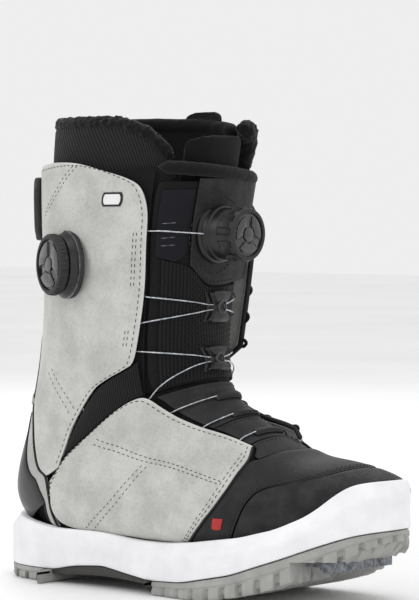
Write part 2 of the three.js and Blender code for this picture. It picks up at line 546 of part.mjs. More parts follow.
// ---------- dials ----------
const WALL = 1.6;
const SPOOL_R = 8.4;
const AXLE_R = 2.0;
const RUNNING = 0.35;            // clearance of what turns in the dials
const DIALS = [
  { name: 'front_dial', v: 1.15, a: 3, lean: [1, 0, -0.03], knobR: 16.5, baseR: 18.4, base: 11.5, knob: 13, skin: ON_TONGUE + 1.6 },
  { name: 'side_dial', v: 1.6, a: 107, lean: [-0.375, -0.927, 0], knobR: 19.2, baseR: 20.8, base: 6.2, knob: 6.4, skin: OUTER, boss: 6.4 },
];

function scalloped(radius, lobes, depth, z0, z1) {
  const shape = new THREE.Shape();
  for (let i = 0; i < lobes * 2; i += 1) {
    const turn = (Math.PI * i) / lobes;
    const r = i % 2 ? radius - depth : radius;
    const point = [r * Math.cos(turn), r * Math.sin(turn)];
    if (i) shape.lineTo(...point);
    else shape.moveTo(...point);
  }
  const geometry = new THREE.ExtrudeGeometry(shape, { depth: z1 - z0, bevelEnabled: false });
  geometry.translate(0, 0, z0);
  return geometry;
}

function placeOf(dial) {
  const z = new THREE.Vector3(...dial.lean).normalize();
  const x = new THREE.Vector3(0, 0, 1).cross(z).normalize().negate();
  const y = new THREE.Vector3().crossVectors(z, x);
  const matrix = new THREE.Matrix4().makeBasis(x, y, z);
  return matrix.setPosition(onLast(dial.v, dial.a, dial.skin + GAP));
}

function addDial(dial) {
  const place = placeOf(dial);
  const put = (part, geometry, colour) => {
    geometry.applyMatrix4(place);
    add(`${dial.name}_${part}`, geometry, colour);
  };
  const { baseR, knobR } = dial;
  const chamberR = SPOOL_R + RUNNING + 0.2;
  const top = dial.base + dial.knob;
  const body = revolved([[0, -9], [baseR, -9], [baseR, 1.2], [baseR - 2, 2.4], [baseR - 2.4, dial.base], [0, dial.base]], 30);
  const chamber = cylinder(chamberR, WALL, dial.base + 5, 20);
  const exits = [-1, 1].map((side) => {
    const geometry = cylinder(LANE_R, chamberR - 2, baseR + 4, 8);
    geometry.rotateY((side * Math.PI) / 2);
    geometry.translate(0, 0, WALL + 1.9);
    return geometry;
  });
  const shell = cut(body, chamber, ...(dial.name === 'front_dial' ? exits : []));
  shell.applyMatrix4(place);
  let base = cut(shell, sock(-0.9, 4.4, dial.skin + GAP, 40, 3));
  if (dial.boss) {
    const depth = dial.skin - LINING_OUT - 2 * GAP;
    const boss = cylinder(dial.boss, -depth, WALL / 2, 20).applyMatrix4(place);
    const groove = [-1, 1].map((sign) => cord([[0, 0.05], [0.25, 0.05]].map(([dv]) => onLast(dial.v + 0.02 + dv,
      dial.a + sign * 2.2, LACE_AT)), LANE_R + 0.1, 8, 1));
    base = cut(join(base, boss), ...groove);
  }
  add(`${dial.name}_base`, base, 0x19191a);
  const spoolTop = dial.base - RUNNING;
  const low = WALL + RUNNING;
  put('spool', revolved([[AXLE_R + RUNNING, low], [SPOOL_R, low], [SPOOL_R, low + 0.8], [SPOOL_R - 3, low + 0.8],
    [SPOOL_R - 3, spoolTop - 0.8], [SPOOL_R, spoolTop - 0.8], [SPOOL_R, spoolTop], [AXLE_R + RUNNING, spoolTop]], 16), 0xd8d8d8);
  put('winding', revolved([[SPOOL_R - 3 + 0.2, low + 1.1], [SPOOL_R - 0.8, low + 1.1], [SPOOL_R - 0.4, (low + spoolTop) / 2],
    [SPOOL_R - 0.8, spoolTop - 1.1], [SPOOL_R - 3 + 0.2, spoolTop - 1.1]], 16), 0x9a9c9f);
  const roof = top - 3.0;
  const hollowR = knobR - 2.6;
  const drive = scalloped(hollowR - RUNNING - 0.3, 14, 1.1, dial.base + RUNNING, roof - RUNNING);
  put('ratchet', cut(drive, cylinder(AXLE_R + RUNNING, 0, top, 12)), 0xc9c9c6);
  const knob = scalloped(knobR, 22, 0.9, dial.base + RUNNING, top);
  const plateR = knobR - 3.4;
  put('knob', cut(knob, cylinder(hollowR, 0, roof, 30), cylinder(plateR + 0.3, top - 1.4, top + 2, 30)), 0x1e1e1f);
  const lobes = new THREE.Shape();
  for (let i = 0; i < 36; i += 1) {
    const turn = (Math.PI * i) / 18;
    const r = plateR - 1.1 + 1.0 * Math.cos(3 * turn);
    if (i) lobes.lineTo(r * Math.cos(turn), r * Math.sin(turn));
    else lobes.moveTo(r * Math.cos(turn), r * Math.sin(turn));
  }
  const cover = new THREE.ExtrudeGeometry(lobes, { depth: 1.6, bevelEnabled: false });
  cover.translate(0, 0, top - 1.4 + 0.3);
  put('cover', cover, 0x55585c);
  put('axle', revolved([[0, WALL + 0.3], [AXLE_R, WALL + 0.3], [AXLE_R, roof - RUNNING - 2.2], [0, roof - RUNNING - 2.2]], 14), 0x8d9094);
}

// ---------- laces ----------
const UNDER_A = 55.8;            // the lace is under the flap from this angle
const OVER = [[52.4, INNER - 0.1], [49.5, INNER + 0.8], [46.5, MESH_OUT + GAP + LACE_R + 0.2], [34, MESH_OUT + 1.3], [22, LANE_AT - 0.2]];

function cord(points, radius, sides, split) {
  const curve = new THREE.CatmullRomCurve3(points, false, 'centripetal');
  const count = (points.length - 1) * split;
  const centres = Array.from({ length: count + 1 }, (_, i) => curve.getPoint(i / count));
  const positions = [];
  let normal = new THREE.Vector3(0.31, 0.22, 0.93);
  centres.forEach((centre, i) => {
    const before = centres[Math.max(i - 1, 0)];
    const after = centres[Math.min(i + 1, count)];
    const along = new THREE.Vector3().subVectors(after, before).normalize();
    normal = normal.clone().addScaledVector(along, -normal.dot(along)).normalize();
    const side = new THREE.Vector3().crossVectors(along, normal);
    for (let j = 0; j < sides; j += 1) {
      const turn = (2 * Math.PI * j) / sides;
      const out = normal.clone().multiplyScalar(Math.cos(turn) * radius).addScaledVector(side, Math.sin(turn) * radius);
      positions.push(centre.clone().add(out));
    }
  });
  const faces = [];
  const id = (i, j) => i * sides + (j % sides);
  for (let i = 0; i < count; i += 1) {
    for (let j = 0; j < sides; j += 1) {
      faces.push([id(i, j), id(i + 1, j + 1), id(i + 1, j)], [id(i, j), id(i, j + 1), id(i + 1, j + 1)]);
    }
  }
  positions.push(centres[0].clone(), centres[count].clone());
  for (let j = 0; j < sides; j += 1) {
    faces.push([positions.length - 2, id(0, j + 1), id(0, j)], [positions.length - 1, id(count, j), id(count, j + 1)]);
  }
  return geometryOf(positions, faces);
}

// from one flap to the other through a guide, v0 at the first flap edge, v1 at the last
function crossing(v0, laneV, v1, side) {
  const half = (v, sign) => OVER.map(([a, off], i) => onLast(v + (laneV - v) * ((i + 0.5) / OVER.length), sign * a, off));
  return [...half(v0, side), onLast(laneV, side * 9, LANE_AT), onLast(laneV, 0, LANE_AT), onLast(laneV, -side * 9, LANE_AT),
    ...half(v1, -side).reverse()];
}

const under = (list, side) => list.map(([v, a]) => onLast(v, side * a, LACE_AT));

function addLaces() {
  const dial = DIALS[0];
  const place = placeOf(dial);
  const port = (side, r, z = WALL + 1.9) => new THREE.Vector3(side * r, 0, z).applyMatrix4(place);
  const outward = port(-1, 10).y < port(1, 10).y ? -1 : 1;
  const leave = (side, sign) => [port(sign, SPOOL_R + 1.6), port(sign, 14), port(sign, dial.baseR + 0.6),
    onLast(1.12, side * 38, 5), onLast(1.1, side * 46.5, 1.4), onLast(1.1, side * 49.6, INNER + 1), onLast(1.1, side * 52.6, INNER - 0.3)];
  const upper = GUIDES[0].lanes;
  const lower = GUIDES[1].lanes;
  const front = [
    ...leave(1, outward),
    ...under([[1.1, UNDER_A], [1.14, 58.5], [1.3, 61], [1.7, 61.5], [2.0, 60.5], [2.12, 58.5], [2.14, UNDER_A]], 1),
    ...crossing(2.15, upper[0], 2.1, 1),
    ...under([[2.08, UNDER_A], [2.1, 58.5], [2.2, 60.5], [2.4, 61], [2.56, 60.5], [2.63, 58.7], [2.63, 57.2]], -1),
    ...crossing(2.62, upper[1], 2.62, -1),
    ...under([[2.63, 57.2], [2.66, 59.2], [2.78, 61], [2.95, 61.5], [3.1, 61], [3.17, 60], [3.18, 58.8]], 1),
    ...crossing(3.2, lower[0], 3.2, 1),
    ...under([[3.18, 58.8], [3.16, 61], [3.05, 64], [2.7, 66], [2.3, 66], [1.8, 66], [1.4, 65], [1.18, 62],
      [1.1, 58.5], [1.08, UNDER_A]], -1),
    ...leave(-1, -outward).reverse(),
  ];
  add('front_lace', cord(front, LACE_R, 5, 1), 0xb9bcc0);

  // the side dial's lace: two runs go down under the leather from the boss behind the dial
  const sidePort = (sign) => onLast(DIALS[1].v + 0.13, DIALS[1].a + sign * 2.2, LACE_AT);
  const climb = (v, flap, strap, side) => [[flap + 2.5, LACE_AT], [flap + 0.4, LACE_AT], [flap - 0.8, LACE_AT + 0.35],
    [(flap + strap) / 2 - 0.4, INNER - 0.15], [strap - 0.6, CROSS_AT - 0.2], [strap - 3, CROSS_AT + 0.1], [(strap + TUNNEL_A) / 2, CROSS_AT + 0.1],
    [TUNNEL_A + 1, CROSS_AT + 0.25], [8, CROSS_AT + 0.3]]
    .map(([a, off]) => onLast(v, side * a, off));
  const bridge = (v, flap, strap, side) => [...climb(v, flap, strap, side), onLast(v, 0, CROSS_AT + 0.3),
    ...climb(v, flap, strap, -side).reverse()];
  const wing = (side) => [[4.72, 64, LACE_AT], [4.66, 60, LACE_AT], [4.61, 56.5, LACE_AT], [4.56, 53.4, LACE_AT],
    [4.5, 51, INNER - 0.5], [4.4, 48.8, INNER + 0.4], [4.3, 46.5, 0.2], [4.12, 40, 1.0], [3.94, 30, 1.5], [3.83, 22, LANE_AT - 0.3],
    [lower[1], 12, LANE_AT]].map(([v, a, off]) => onLast(v, side * a, off));
  const side = [
    sidePort(-1),
    ...under([[2.0, 104], [2.6, 101], [3.2, 97.5], [3.7, 94], [4.05, 90], [4.3, 86], [4.48, 81], [4.6, 76], [4.68, 70]], 1),
    ...wing(1), onLast(lower[1], 0, LANE_AT), ...wing(-1).reverse().slice(0, -1),
    ...under([[4.74, 62], [4.84, 62.5], [4.96, 60], [5.06, 56], [5.11, 51]], -1),
    ...bridge(5.12, 42.7, 39.3, -1),
    ...under([[5.16, 49], [5.3, 52], [5.55, 52], [5.85, 50], [6.05, 46], [6.14, 42]], 1),
    ...bridge(6.16, 35.9, 32.5, 1),
    ...under([[6.22, 42], [6.4, 44.5], [6.7, 45], [7.0, 43], [7.25, 38], [7.32, 35]], -1),
    ...bridge(7.34, 29.8, 26.8, -1),
    ...under([[7.3, 36], [7.1, 42], [6.7, 50], [6.3, 58], [5.9, 66], [5.6, 74], [5.35, 82], [5.16, 89], [4.95, 95],
      [4.65, 99.5], [4.2, 103], [3.7, 106], [3.2, 108], [2.6, 109.5], [2.1, 110]], 1),
    sidePort(1),
  ];
  add('side_lace', cord(side, LACE_R, 5, 1), 0xb9bcc0);
}

addSole();
addShellPanels();
addInsides();
addTongue();
addStraps();
DIALS.forEach(addDial);
addLaces();
export default group;
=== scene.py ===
import math
import bpy
import numpy as np
from mathutils import Matrix, Vector, noise


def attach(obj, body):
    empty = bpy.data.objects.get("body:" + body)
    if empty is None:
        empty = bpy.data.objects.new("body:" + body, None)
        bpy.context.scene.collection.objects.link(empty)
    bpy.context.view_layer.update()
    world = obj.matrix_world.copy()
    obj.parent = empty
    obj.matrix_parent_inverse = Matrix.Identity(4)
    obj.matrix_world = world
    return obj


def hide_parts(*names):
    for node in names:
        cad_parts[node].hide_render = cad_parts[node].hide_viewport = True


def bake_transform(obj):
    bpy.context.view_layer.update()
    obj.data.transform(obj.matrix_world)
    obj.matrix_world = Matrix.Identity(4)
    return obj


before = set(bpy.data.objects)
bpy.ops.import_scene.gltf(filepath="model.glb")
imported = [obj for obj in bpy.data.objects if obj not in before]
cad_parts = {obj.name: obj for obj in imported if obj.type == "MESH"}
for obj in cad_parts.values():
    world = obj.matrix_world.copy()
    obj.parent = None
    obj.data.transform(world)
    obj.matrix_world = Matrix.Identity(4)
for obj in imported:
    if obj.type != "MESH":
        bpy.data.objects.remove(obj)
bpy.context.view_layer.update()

MM = 0.001


# ---------- the boot last, as in the part ----------
# front x z, back x z, half width outer inner, centre y, fullest point, front and back fullness
STATIONS = np.array([
    [21, 292, -125, 290, 49, 47, 0, 0.50, 2.6, 2.3],
    [16, 264, -127, 262, 49, 47, 0, 0.50, 2.6, 2.3],
    [8, 228, -126, 226, 49, 47, 0, 0.50, 2.6, 2.3],
    [4, 190, -125, 184, 47, 45, 0, 0.50, 2.5, 2.3],
    [2, 158, -130, 142, 46, 44, 0, 0.50, 2.4, 2.2],
    [5, 138, -140, 100, 45, 44, 0, 0.52, 2.3, 2.2],
    [14, 124, -147, 50, 44, 44, 0, 0.60, 2.2, 2.6],
    [26, 114, -112, 27, 46, 45, 1, 0.62, 2.1, 3.0],
    [39, 105, -35, 26, 50, 45, 3, 0.62, 2.1, 3.0],
    [54, 96, 25, 26, 53, 46, 5, 0.62, 2.1, 3.0],
    [74, 87, 62, 27, 53, 46, 8, 0.62, 2.1, 3.0],
    [98, 83, 94, 35, 47, 43, 10, 0.60, 2.2, 3.0],
    [118, 78, 113, 46, 36, 34, 12, 0.58, 2.3, 2.8],
    [131, 73, 127, 55, 22, 21, 13, 0.55, 2.4, 2.4],
], float)
GAP = 0.35
OUTER = 1.0
LEATHER = 2.0
INNER = OUTER - LEATHER
LACE_ROOM = 2.1
LACE_AT = INNER - LACE_ROOM / 2
LINING_OUT = INNER - LACE_ROOM
LINING_IN = LINING_OUT - 2.2
LINER_OUT = LINING_IN - 2 * GAP - 0.5
LINER_IN = LINER_OUT - 6.0
TONGUE_OUT = LINING_OUT + 1.0
ON_TONGUE = TONGUE_OUT + 0.75
MESH_OUT = ON_TONGUE + 1.0


def spline(points, t):
    """Catmull-Rom through rows of points at the parameters t, straight before the start."""
    points = np.asarray(points, float)
    t = np.atleast_1d(np.asarray(t, float))
    last = len(points) - 1
    i = np.clip(np.floor(t).astype(int), 0, max(last - 1, 0))
    f = (t - i)[:, None]
    p0, p1 = points[np.maximum(i - 1, 0)], points[i]
    p2, p3 = points[np.minimum(i + 1, last)], points[np.minimum(i + 2, last)]
    curve = 0.5 * (2 * p1 + (p2 - p0) * f + (2 * p0 - 5 * p1 + 4 * p2 - p3) * f**2
                   + (3 * p1 - p0 - 3 * p2 + p3) * f**3)
    return np.where(t[:, None] < 0, p1 + (p2 - p1) * f, curve)


def on_last(v, a, off):
    """Points on the last: v 0 at the cuff's top to 12 at the toe, a in degrees round it, off in mm."""
    v, a, off = np.broadcast_arrays(np.asarray(v, float), np.asarray(a, float), np.asarray(off, float))
    shape = v.shape
    v, a, off = v.ravel(), np.radians(a.ravel()), off.ravel()
    xf, zf, xb, zb, outer, inner, middle, full, front, back = spline(STATIONS, v + 1).T
    length = np.hypot(xf - xb, zf - zb)
    dx, dz = (xf - xb) / length, (zf - zb) / length
    c, s = np.cos(a), np.sin(a)
    p = np.where(c > 0, front, back)
    r = (np.abs(c)**p + np.abs(s)**p)**(-1 / p)
    along = (np.where(c > 0, length * full, length * (1 - full)) + off) * r * c
    across = (np.where(s > 0, outer, inner) + off) * r * s
    xyz = np.stack([xf - dx * length * full + dx * along, middle - across, zf - dz * length * full + dz * along], 1)
    return (xyz * MM).reshape(shape + (3,))


def out_of_last(v, a):
    """Unit normals of the last, pointing outwards."""
    e = 0.01
    along = on_last(v + e, a, 0) - on_last(v - e, a, 0)
    around = on_last(v, a + 1, 0) - on_last(v, a - 1, 0)
    normal = np.cross(along, around)
    normal /= np.linalg.norm(normal, axis=-1, keepdims=True)
    outward = on_last(v, a, 1) - on_last(v, a, 0)
    sign = np.sign((normal * outward).sum(-1, keepdims=True))
    return normal * sign


# ---------- materials ----------
def rgb(code):
    """sRGB hex to linear colour."""
    values = [int(code[i:i + 2], 16) / 255 for i in (1, 3, 5)]
    return [v / 12.92 if v <= 0.04045 else ((v + 0.055) / 1.055)**2.4 for v in values] + [1.0]


def add_node(mat, kind, links=None, **settings):
    """One node with its settings; links maps an input's name or number to an output or a value."""
    made = mat.node_tree.nodes.new(kind)
    for key, value in settings.items():
        setattr(made, key, value)
    for key, value in (links or {}).items():
        if isinstance(value, bpy.types.NodeSocket):
            mat.node_tree.links.new(value, made.inputs[key])
        else:
            made.inputs[key].default_value = value
    return made


def material(name, colour, roughness, **sockets):
    mat = bpy.data.materials.new(name)
    mat.use_nodes = True
    shader = mat.node_tree.nodes["Principled BSDF"]
    shader.inputs["Base Color"].default_value = rgb(colour)
    shader.inputs["Roughness"].default_value = roughness
    for key, value in sockets.items():
        shader.inputs[key.replace("_", " ")].default_value = value
    return mat, shader


def coordinates(mat, kind="Object"):
    return add_node(mat, "ShaderNodeTexCoord").outputs[kind]


def ramp(mat, source, stops):
    made = add_node(mat, "ShaderNodeValToRGB", {0: source})
    for i, (at, code) in enumerate(stops):
        stop = made.color_ramp.elements[i] if i < 2 else made.color_ramp.elements.new(at)
        stop.position = at
        stop.color = rgb(code)
    return made.outputs[0]


WAVE_PERIOD = 20 / (2 * math.pi)    # a wave texture repeats every 2 pi of its scaled coordinate over 20


def per_mm(size):
    """Texture scale, in cells a metre, for a pattern of that many millimetres."""
    return 1000.0 / size


def noise_of(mat, size, detail=3.0, roughness=0.5):
    made = add_node(mat, "ShaderNodeTexNoise", {"Vector": coordinates(mat), "Scale": per_mm(size),
                                                "Detail": detail, "Roughness": roughness})
    return made.outputs[0]


def bump(mat, shader, heights):
    """Stacks bumps: each (height output, depth in mm)."""
    normal = None
    for height, depth in heights:
        links = {"Height": height, "Distance": depth * MM, "Strength": 1.0}
        if normal is not None:
            links["Normal"] = normal
        normal = add_node(mat, "ShaderNodeBump", links).outputs[0]
    mat.node_tree.links.new(normal, shader.inputs["Normal"])


def mix(mat, factor, one, two):
    """Mixes two colours; the node's colour sockets are numbers 6, 7 and 2."""
    made = add_node(mat, "ShaderNodeMix", data_type="RGBA", blend_type="MIX")
    tree = mat.node_tree
    for index, value in ((0, factor), (6, one), (7, two)):
        if isinstance(value, bpy.types.NodeSocket):
            tree.links.new(value, made.inputs[index])
        else:
            made.inputs[index].default_value = value
    return made.outputs[2]


def math_of(mat, operation, one, two):
    return add_node(mat, "ShaderNodeMath", {0: one, 1: two}, operation=operation).outputs[0]


def to_base(mat, shader, colour, roughness=None):
    mat.node_tree.links.new(colour, shader.inputs["Base Color"])
    if roughness is not None:
        mat.node_tree.links.new(roughness, shader.inputs["Roughness"])


def edge_of(mat):
    """Distance from the panel's edge in mm, kept on the mesh."""
    return add_node(mat, "ShaderNodeAttribute", attribute_name="edge").outputs["Fac"]


def nubuck(name, light, dark, rub):
    """Brushed nubuck leather: matt, blotched by handling, rubbed paler near its cut edges."""
    mat, shader = material(name, light, 0.82, Sheen_Weight=0.25, Sheen_Roughness=0.5)
    cloud = noise_of(mat, 22, 5.0, roughness=0.62)
    fibre = noise_of(mat, 1.6, 6.0, roughness=0.7)
    blotch = ramp(mat, cloud, [(0.38, dark), (0.6, light)])
    speck = ramp(mat, fibre, [(0.35, dark), (0.55, light)])
    body = mix(mat, 0.42, blotch, speck)
    near = add_node(mat, "ShaderNodeMapRange", {"Value": edge_of(mat), "From Min": 0.0, "From Max": 2.2,
                                                "To Min": 0.55, "To Max": 0.0}).outputs[0]
    to_base(mat, shader, mix(mat, near, body, rgb(rub)))
    bump(mat, shader, [(fibre, 0.10), (noise_of(mat, 0.55, 4.0), 0.06), (cloud, 0.25)])
    return mat


def black_leather(name, colour, high, grain, depth, roughness):
    """Full grain leather dyed black: pebbled, with a low shine on the tops of the grain."""
    mat, shader = material(name, colour, roughness, Specular_IOR_Level=0.3)
    cells = add_node(mat, "ShaderNodeTexVoronoi", {"Vector": coordinates(mat), "Scale": per_mm(grain), "Detail": 1.0},
                     feature="SMOOTH_F1")
    pebble = cells.outputs["Distance"]
    crease = noise_of(mat, 9, 4.0)
    shade = mix(mat, ramp(mat, crease, [(0.35, "#000000"), (0.7, "#ffffff")]), rgb(colour), rgb(high))
    near = add_node(mat, "ShaderNodeMapRange", {"Value": edge_of(mat), "From Min": 0.0, "From Max": 1.6,
                                                "To Min": 0.5, "To Max": 0.0}).outputs[0]
    rough = add_node(mat, "ShaderNodeMapRange", {"Value": pebble, "From Min": 0.0, "From Max": 0.7,
                                                 "To Min": roughness - 0.08, "To Max": roughness + 0.16}).outputs[0]
    to_base(mat, shader, mix(mat, near, shade, rgb(high)), rough)
    bump(mat, shader, [(pebble, -depth), (noise_of(mat, 0.4, 3.0), depth * 0.3), (crease, 0.2)])
    return mat


def knit(name, colour, high, rib, slant, depth, roughness=0.85):
    """Knitted or woven mesh: ribs that follow the piece, with a gap of shade between them."""
    mat, shader = material(name, colour, roughness, Sheen_Weight=0.08, Specular_IOR_Level=0.2)
    uv = coordinates(mat, "UV")
    turned = add_node(mat, "ShaderNodeMapping", {"Vector": uv, "Rotation": (0, 0, math.radians(slant))}).outputs[0]
    # the UVs are metres, so the ribs keep their size on every piece
    ribs = add_node(mat, "ShaderNodeTexWave", {"Vector": turned, "Scale": per_mm(rib) / WAVE_PERIOD,
                                               "Distortion": 0.0}, bands_direction="Y").outputs["Fac"]
    yarn = add_node(mat, "ShaderNodeTexWave", {"Vector": turned, "Scale": per_mm(rib * 0.6) / WAVE_PERIOD,
                                               "Distortion": 0.4, "Detail": 1.0}, bands_direction="X").outputs["Fac"]
    pattern = math_of(mat, "MULTIPLY", ribs, math_of(mat, "ADD", math_of(mat, "MULTIPLY", yarn, 0.4), 0.6))
    to_base(mat, shader, mix(mat, pattern, rgb(colour), rgb(high)))
    bump(mat, shader, [(pattern, depth), (noise_of(mat, 0.5, 3.0), 0.05)])
    return mat


def moulded(name, colour, roughness, high=None, grit=0.6, depth=0.02, **sockets):
    """Injection moulded polymer: even colour, a fine spark-eroded skin and faint handling marks."""
    mat, shader = material(name, colour, roughness, **sockets)
    cloud = noise_of(mat, 14, 4.0)
    rough = add_node(mat, "ShaderNodeMapRange", {"Value": cloud, "From Min": 0.3, "From Max": 0.7,
                                                 "To Min": roughness - 0.06, "To Max": roughness + 0.08}).outputs[0]
    to_base(mat, shader, mix(mat, ramp(mat, cloud, [(0.35, "#000000"), (0.75, "#ffffff")]), rgb(colour),
                             rgb(high or colour)), rough)
    bump(mat, shader, [(noise_of(mat, grit, 3.0), depth)])
    return mat


MAT = {
    "cuff": nubuck("grey_nubuck_leather", "#c6c6c2", "#a7a7a3", "#d8d8d4"),
    "stay": nubuck("pale_nubuck_strip", "#b4b4b1", "#9b9b98", "#c6c6c3"),
    "black": black_leather("black_full_grain_leather", "#161617", "#262628", 1.1, 0.10, 0.5),
    "vamp": black_leather("smooth_black_leather", "#161617", "#222224", 0.8, 0.05, 0.44),
    "toe": black_leather("embossed_black_toe_leather", "#111112", "#29292b", 1.5, 0.22, 0.46),
    "strap": black_leather("black_strap_leather", "#19191a", "#2b2b2d", 0.9, 0.08, 0.46),
    "gusset": knit("ribbed_black_mesh", "#060607", "#232325", 1.7, 0, 0.35),
    "tongue_mesh": knit("ribbed_tongue_mesh", "#070708", "#1f1f21", 2.4, 90, 0.5),
    "liner_mesh": knit("diagonal_rib_liner_mesh", "#060607", "#2a2a2c", 2.3, 52, 0.45),
    "cloth": knit("black_binding_cloth", "#080809", "#151516", 0.9, 45, 0.1),
    "label": knit("dark_woven_label", "#0a0a10", "#14151d", 0.8, 0, 0.05, 0.7),
    "lining": knit("black_shell_lining", "#0c0c0d", "#18181a", 1.0, 45, 0.08),
    "fleece": moulded("curly_black_fleece", "#070707", 0.95, "#121213", 1.6, 0.5, Sheen_Weight=0.15,
                       Specular_IOR_Level=0.2),
    "midsole": moulded("white_moulded_eva_foam", "#f1f1f3", 0.55, "#e6e6ea", 0.9, 0.03),
    "outsole": moulded("grey_tread_rubber", "#a6a6a2", 0.72, "#929290", 0.7, 0.05),
    "shank": moulded("dark_shank_nylon", "#33322f", 0.55, "#3d3c39", 0.8, 0.03),
    "heel": moulded("charcoal_tpu_counter", "#202021", 0.42, "#2a2a2c", 1.0, 0.02, Coat_Weight=0.15),
    "nylon": moulded("black_moulded_nylon", "#0c0c0d", 0.4, "#151517", 0.7, 0.02),
    "grip": moulded("black_grip_nylon", "#101011", 0.5, "#1a1a1c", 0.8, 0.04),
    "gloss": moulded("polished_grey_cover", "#121317", 0.2, "#0e0f12", 4.0, 0.01, Coat_Weight=0.8, Coat_Roughness=0.05),
    "acetal": moulded("natural_acetal", "#cfcfca", 0.4, "#c4c4bf", 0.8, 0.02),
    "thread": moulded("dark_bonded_thread", "#2b2b2c", 0.7, "#3a3a3b", 0.4, 0.05),
    "black_thread": moulded("black_bonded_thread", "#0f0f10", 0.6, "#1b1b1c", 0.4, 0.05),
    "board": moulded("lasting_fibre_board", "#8a7a5c", 0.9, "#7a6b50", 1.2, 0.1),
    "foam": moulded("grey_footbed_foam", "#4b5056", 0.9, "#565b61", 1.0, 0.1),
    "red": moulded("red_rubber_tab", "#b3211d", 0.5, "#a01c19", 0.6, 0.02),
    "white_mark": moulded("white_rubber_mark", "#e8e8e8", 0.5, "#dddddd", 0.6, 0.02),
}


def steel(name, colour, roughness, lay):
    """Stranded stainless cable or turned steel: bright, with the lay of its wires as fine slanting ridges."""
    mat, shader = material(name, colour, roughness, Metallic=1.0)
    wires = add_node(mat, "ShaderNodeTexWave", {"Vector": coordinates(mat), "Scale": per_mm(lay) / WAVE_PERIOD,
                                                "Distortion": 0.3}, bands_direction="DIAGONAL").outputs["Fac"]
    to_base(mat, shader, ramp(mat, noise_of(mat, 3.0), [(0.3, colour), (0.7, "#8e9297")]))
    bump(mat, shader, [(wires, 0.05)])
    return mat


MAT["cable"] = steel("stranded_steel_cable", "#d3d6da", 0.22, 0.7)
# painted shade: this steel's colour is darkened to stand for the shade in the recess round the cleat; the same darkened
# steel also dresses the screws, dial axles, silver edge and petal lines
MAT["steel"] = steel("steel_darkened_by_painted_recess_shade", "#4c4d50", 0.38, 0.3)
MAT["gloss_black"] = moulded("polished_black_dish", "#0d0d0e", 0.14, "#141416", 4.0, 0.01, Coat_Weight=0.7)
MAT["label_line"] = moulded("pale_label_yarn", "#8d8f98", 0.7, "#777983", 0.5, 0.03)
MAT["cloth_plain"] = knit("brushed_black_tricot", "#090909", "#161617", 1.3, 30, 0.15, 0.9)


# ---------- modelling helpers ----------
def deselect():
    bpy.ops.object.select_all(action="DESELECT")


def only(piece):
    deselect()
    piece.select_set(True)
    bpy.context.view_layer.objects.active = piece


def apply_modifiers(piece):
    only(piece)
    for modifier in list(piece.modifiers):
        bpy.ops.object.modifier_apply(modifier=modifier.name)


def with_modifier(piece, kind, **settings):
    modifier = piece.modifiers.new(kind.title(), kind)
    for key, value in settings.items():
        setattr(modifier, key, value)
    return modifier


def numbers(piece):
    """A piece's vertices as rows of x y z."""
    flat = np.empty(len(piece.data.vertices) * 3, np.float32)
    piece.data.vertices.foreach_get("co", flat)
    return flat.reshape(-1, 3).astype(float)


def move_to(piece, points):
    piece.data.vertices.foreach_set("co", np.asarray(points, np.float32).ravel())
    piece.data.update()


def corner_vertices(piece):
    """The vertex that each of a mesh's face corners stands on."""
    corners = np.empty(len(piece.data.loops), int)
    piece.data.loops.foreach_get("vertex_index", corners)
    return corners


def run_along(points):
    """Distance run along a line of points, from its start."""
    return np.concatenate([[0], np.cumsum(np.linalg.norm(np.diff(points, axis=0), axis=1))])


def stacked_faces(rows, count):
    """Faces of a stack of rings, closed at both ends on the two points that follow the last ring."""
    faces = []
    for k in range(rows - 1):
        for j in range(count):
            n = (j + 1) % count
            faces.append([k * count + j, k * count + n, (k + 1) * count + n, (k + 1) * count + j])
    tip = rows * count
    for j in range(count):
        n = (j + 1) % count
        faces.append([tip, n, j])
        faces.append([tip + 1, (rows - 1) * count + j, (rows - 1) * count + n])
    return faces


def wall(piece, thickness, rounding=0.0):
    """Gives a skin its thickness inwards, and rounds its cut edges; both in mm."""
    with_modifier(piece, "SOLIDIFY", thickness=thickness * MM, offset=-1.0, use_even_offset=False)
    apply_modifiers(piece)
    if rounding:
        with_modifier(piece, "BEVEL", width=rounding * MM, segments=3, limit_method="ANGLE",
                      angle_limit=math.radians(55), use_clamp_overlap=True)
        apply_modifiers(piece)


def finish_piece(piece, name, mat, body="shell", replaces=(), smooth=40):
    """Names and dresses a piece, and hangs it on its body."""
    piece.name = name
    piece.data.name = name
    piece.data.materials.clear()
    piece.data.materials.append(MAT[mat])
    only(piece)
    bpy.ops.object.shade_smooth_by_angle(angle=math.radians(smooth))
    if body:
        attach(piece, body)
    if replaces:
        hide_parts(*replaces)
    return piece


def new_mesh(name, points, faces):
    mesh = bpy.data.meshes.new(name)
    mesh.from_pydata([tuple(p) for p in points], [], [tuple(int(i) for i in f) for f in faces])
    piece = bpy.data.objects.new(name, mesh)
    bpy.context.scene.collection.objects.link(piece)
    return piece


def facing_out(piece):
    """Turns a closed piece's faces outwards."""
    only(piece)
    bpy.ops.object.mode_set(mode="EDIT")
    bpy.ops.mesh.select_all(action="SELECT")
    bpy.ops.mesh.remove_doubles(threshold=1e-6)
    bpy.ops.mesh.normals_make_consistent(inside=False)
    bpy.ops.object.mode_set(mode="OBJECT")


# ---------- panels on the last ----------
def across_lines(lines, s, t):
    """Where a panel's points lie on the last: s runs from its first outline to its last, t along them."""
    s, t = np.atleast_1d(s), np.atleast_1d(t)
    grid = np.stack([spline(line, t * (len(line) - 1)) for line in lines])
    if len(lines) == 2:
        return grid[0][None] + (grid[1] - grid[0])[None] * s[:, None, None]
    return spline(grid.reshape(len(lines), -1), s * (len(lines) - 1)).reshape(len(s), len(t), 2)


def lengths_along(points, axis):
    """Distance run along one axis of a grid of points, from its start, in mm."""
    step = np.linalg.norm(np.diff(points, axis=axis), axis=-1) / MM
    first = np.zeros_like(np.take(step, [0], axis=axis))
    return np.concatenate([first, np.cumsum(step, axis=axis)], axis=axis)


